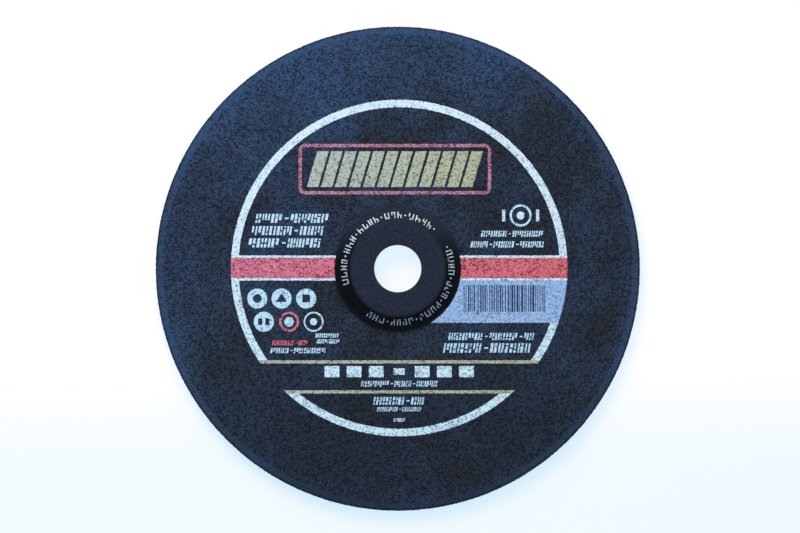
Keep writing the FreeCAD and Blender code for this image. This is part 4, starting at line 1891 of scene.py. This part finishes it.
@dataclass
class Studio:
    """The plain pale table, the soft light and the camera straight over the wheel."""

    camera_place: Place = (1.04, 1.05, 1200.0)
    lens: float = 113.2
    sensor: float = 36.0
    clip_in_metres: Pair = (0.05, 50.0)
    lamp_place: Place = (-170.0, 470.0, 520.0)
    lamp_size: float = 420.0
    lamp_power: float = 2.9
    lamp_colour: Triple = (0.94, 0.97, 1.0)
    under_place: Place = (200.0, -500.0, -600.0)
    under_power: float = 8.0
    sky: Light = (0.7, 0.7, 0.7, 1.0)
    floor_half: float = 3000.0
    floor_gap: float = 0.02
    matt: Light = (0.5, 0.5, 0.5, 1.0)
    tint: Light = (0.44, 0.22, 0.06, 1.0)
    glow_high: Light = (0.6, 0.8, 0.957, 1.0)
    # Painted shadow: the table's glow dims and turns bluer towards the bottom of the picture.
    glow_painted_shadow: Light = (0.472, 0.746, 0.935, 1.0)
    painted_shadow_fade: Ramp = Ramp(-35.0, -95.0)
    white_edge: Ramp = Ramp(230.0, 460.0)

    def camera(self) -> None:
        """Put the camera over the wheel, looking straight down."""
        data = bpy.data.cameras.new("camera")
        data.lens, data.sensor_width = self.lens, self.sensor
        data.clip_start, data.clip_end = self.clip_in_metres
        made = bpy.data.objects.new("camera", data)
        bpy.context.scene.collection.objects.link(made)
        made.location = [part * MM for part in self.camera_place]
        bpy.context.scene.camera = made

    def lamp(self, name: str, place: Place, power: float) -> None:
        """Hang a wide soft lamp that faces the wheel.

        Args:
            name: the lamp's name.
            place: where it hangs.
            power: its power, in watts.
        """
        data = bpy.data.lights.new(name, "AREA")
        data.shape, data.size, data.energy = "DISK", self.lamp_size * MM, power
        data.color = self.lamp_colour
        made = bpy.data.objects.new(name, data)
        bpy.context.scene.collection.objects.link(made)
        made.location = [part * MM for part in place]
        made.rotation_mode = "QUATERNION"
        made.rotation_quaternion = (-made.location).to_track_quat("-Z", "Y")
        made.visible_camera = False

    @staticmethod
    def seen(graph: Graph) -> Socket:
        """Tell whether a ray shows the backdrop, straight or in a shiny thing.

        Args:
            graph: the graph that asks.

        Returns:
            1 where it does, and else 0.
        """
        path = graph.node("ShaderNodeLightPath").outputs
        bare = graph.larger(path["Is Camera Ray"], path["Is Glossy Ray"])
        return graph.larger(bare, path["Is Transmission Ray"])

    def world(self) -> None:
        """Fill the room with even light, with a white backdrop."""
        world = bpy.data.worlds.new("room")
        bpy.context.scene.world = world
        world.use_nodes = True
        graph = Graph(world.node_tree)
        shade = graph.mix(self.seen(graph), self.sky, FULL_LIGHT)
        graph.join(world.node_tree.nodes["Background"], {"Color": shade})

    def table_material(self) -> bpy.types.Material:
        """Make the table's finish: tinted where the wheel's shadow falls, with painted shadow that turns it
        bluer towards the bottom, and clear from below.

        Returns:
            The material.
        """
        material = bpy.data.materials.new("pale_table")
        material.use_nodes = True
        material.node_tree.nodes.clear()
        graph = Graph(material.node_tree)
        place = graph.place()
        _, y, _ = graph.split(place)
        matt, tinted = (
            graph.node("ShaderNodeBsdfDiffuse", {"Color": colour}) for colour in (self.matt, self.tint)
        )
        # Painted shadow, bluer and dimmer towards the bottom.
        near = graph.mix(self.painted_shadow_fade.over(graph, y), self.glow_high, self.glow_painted_shadow)
        shade = graph.mix(self.white_edge.over(graph, graph.radius(place)), near, FULL_LIGHT)
        glow = graph.node("ShaderNodeEmission", {"Color": shade}).outputs[0]
        both = graph.node("ShaderNodeAddShader", {0: tinted.outputs[0], 1: glow}).outputs[0]
        feeds = {0: self.seen(graph), 1: matt.outputs[0], 2: both}
        shown = graph.node("ShaderNodeMixShader", feeds).outputs[0]
        below = graph.node("ShaderNodeNewGeometry").outputs["Backfacing"]
        shadow = graph.node("ShaderNodeLightPath").outputs["Is Shadow Ray"]
        clear = graph.node("ShaderNodeBsdfTransparent").outputs[0]
        surface = graph.node("ShaderNodeMixShader", {0: graph.larger(below, shadow), 1: shown, 2: clear})
        graph.node("ShaderNodeOutputMaterial", {0: surface.outputs[0]})
        return material

    def floor(self) -> None:
        """Lay the pale table, which keeps the wheel's shadow."""
        half, low = self.floor_half, -self.floor_gap
        corners = np.array([(-half, -half, low), (half, -half, low), (half, half, low), (-half, half, low)])
        table = add_object("table", corners, [(0, 1, 2, 3)])
        table.data.materials.append(self.table_material())

    def build(self) -> None:
        """Set up the camera, the lamps, the room and the table."""
        self.camera()
        self.lamp("soft_lamp", self.lamp_place, self.lamp_power)
        self.lamp("lamp_under_the_table", self.under_place, self.under_power)
        self.world()
        self.floor()
        bpy.context.scene.view_settings.view_transform = "Standard"


def main() -> None:
    """Build the wheel, its ring and its label, and the studio round them."""
    logging.basicConfig(level=logging.INFO, format="%(name)s: %(message)s")
    Studio().build()
    wheel, ring = GrindingWheel(), BoreRing()
    body, lining = wheel.build(), ring.build()
    wheel.dress(body)
    ring.dress(lining)
    made = [body, lining, *PrintedFields().build(), *PrintedMarks().build(), HubMarks(wheel).build()]
    for piece in made:
        log.info("%s: %d faces", piece.name, len(piece.data.polygons))


if __name__ == "__main__":
    main()
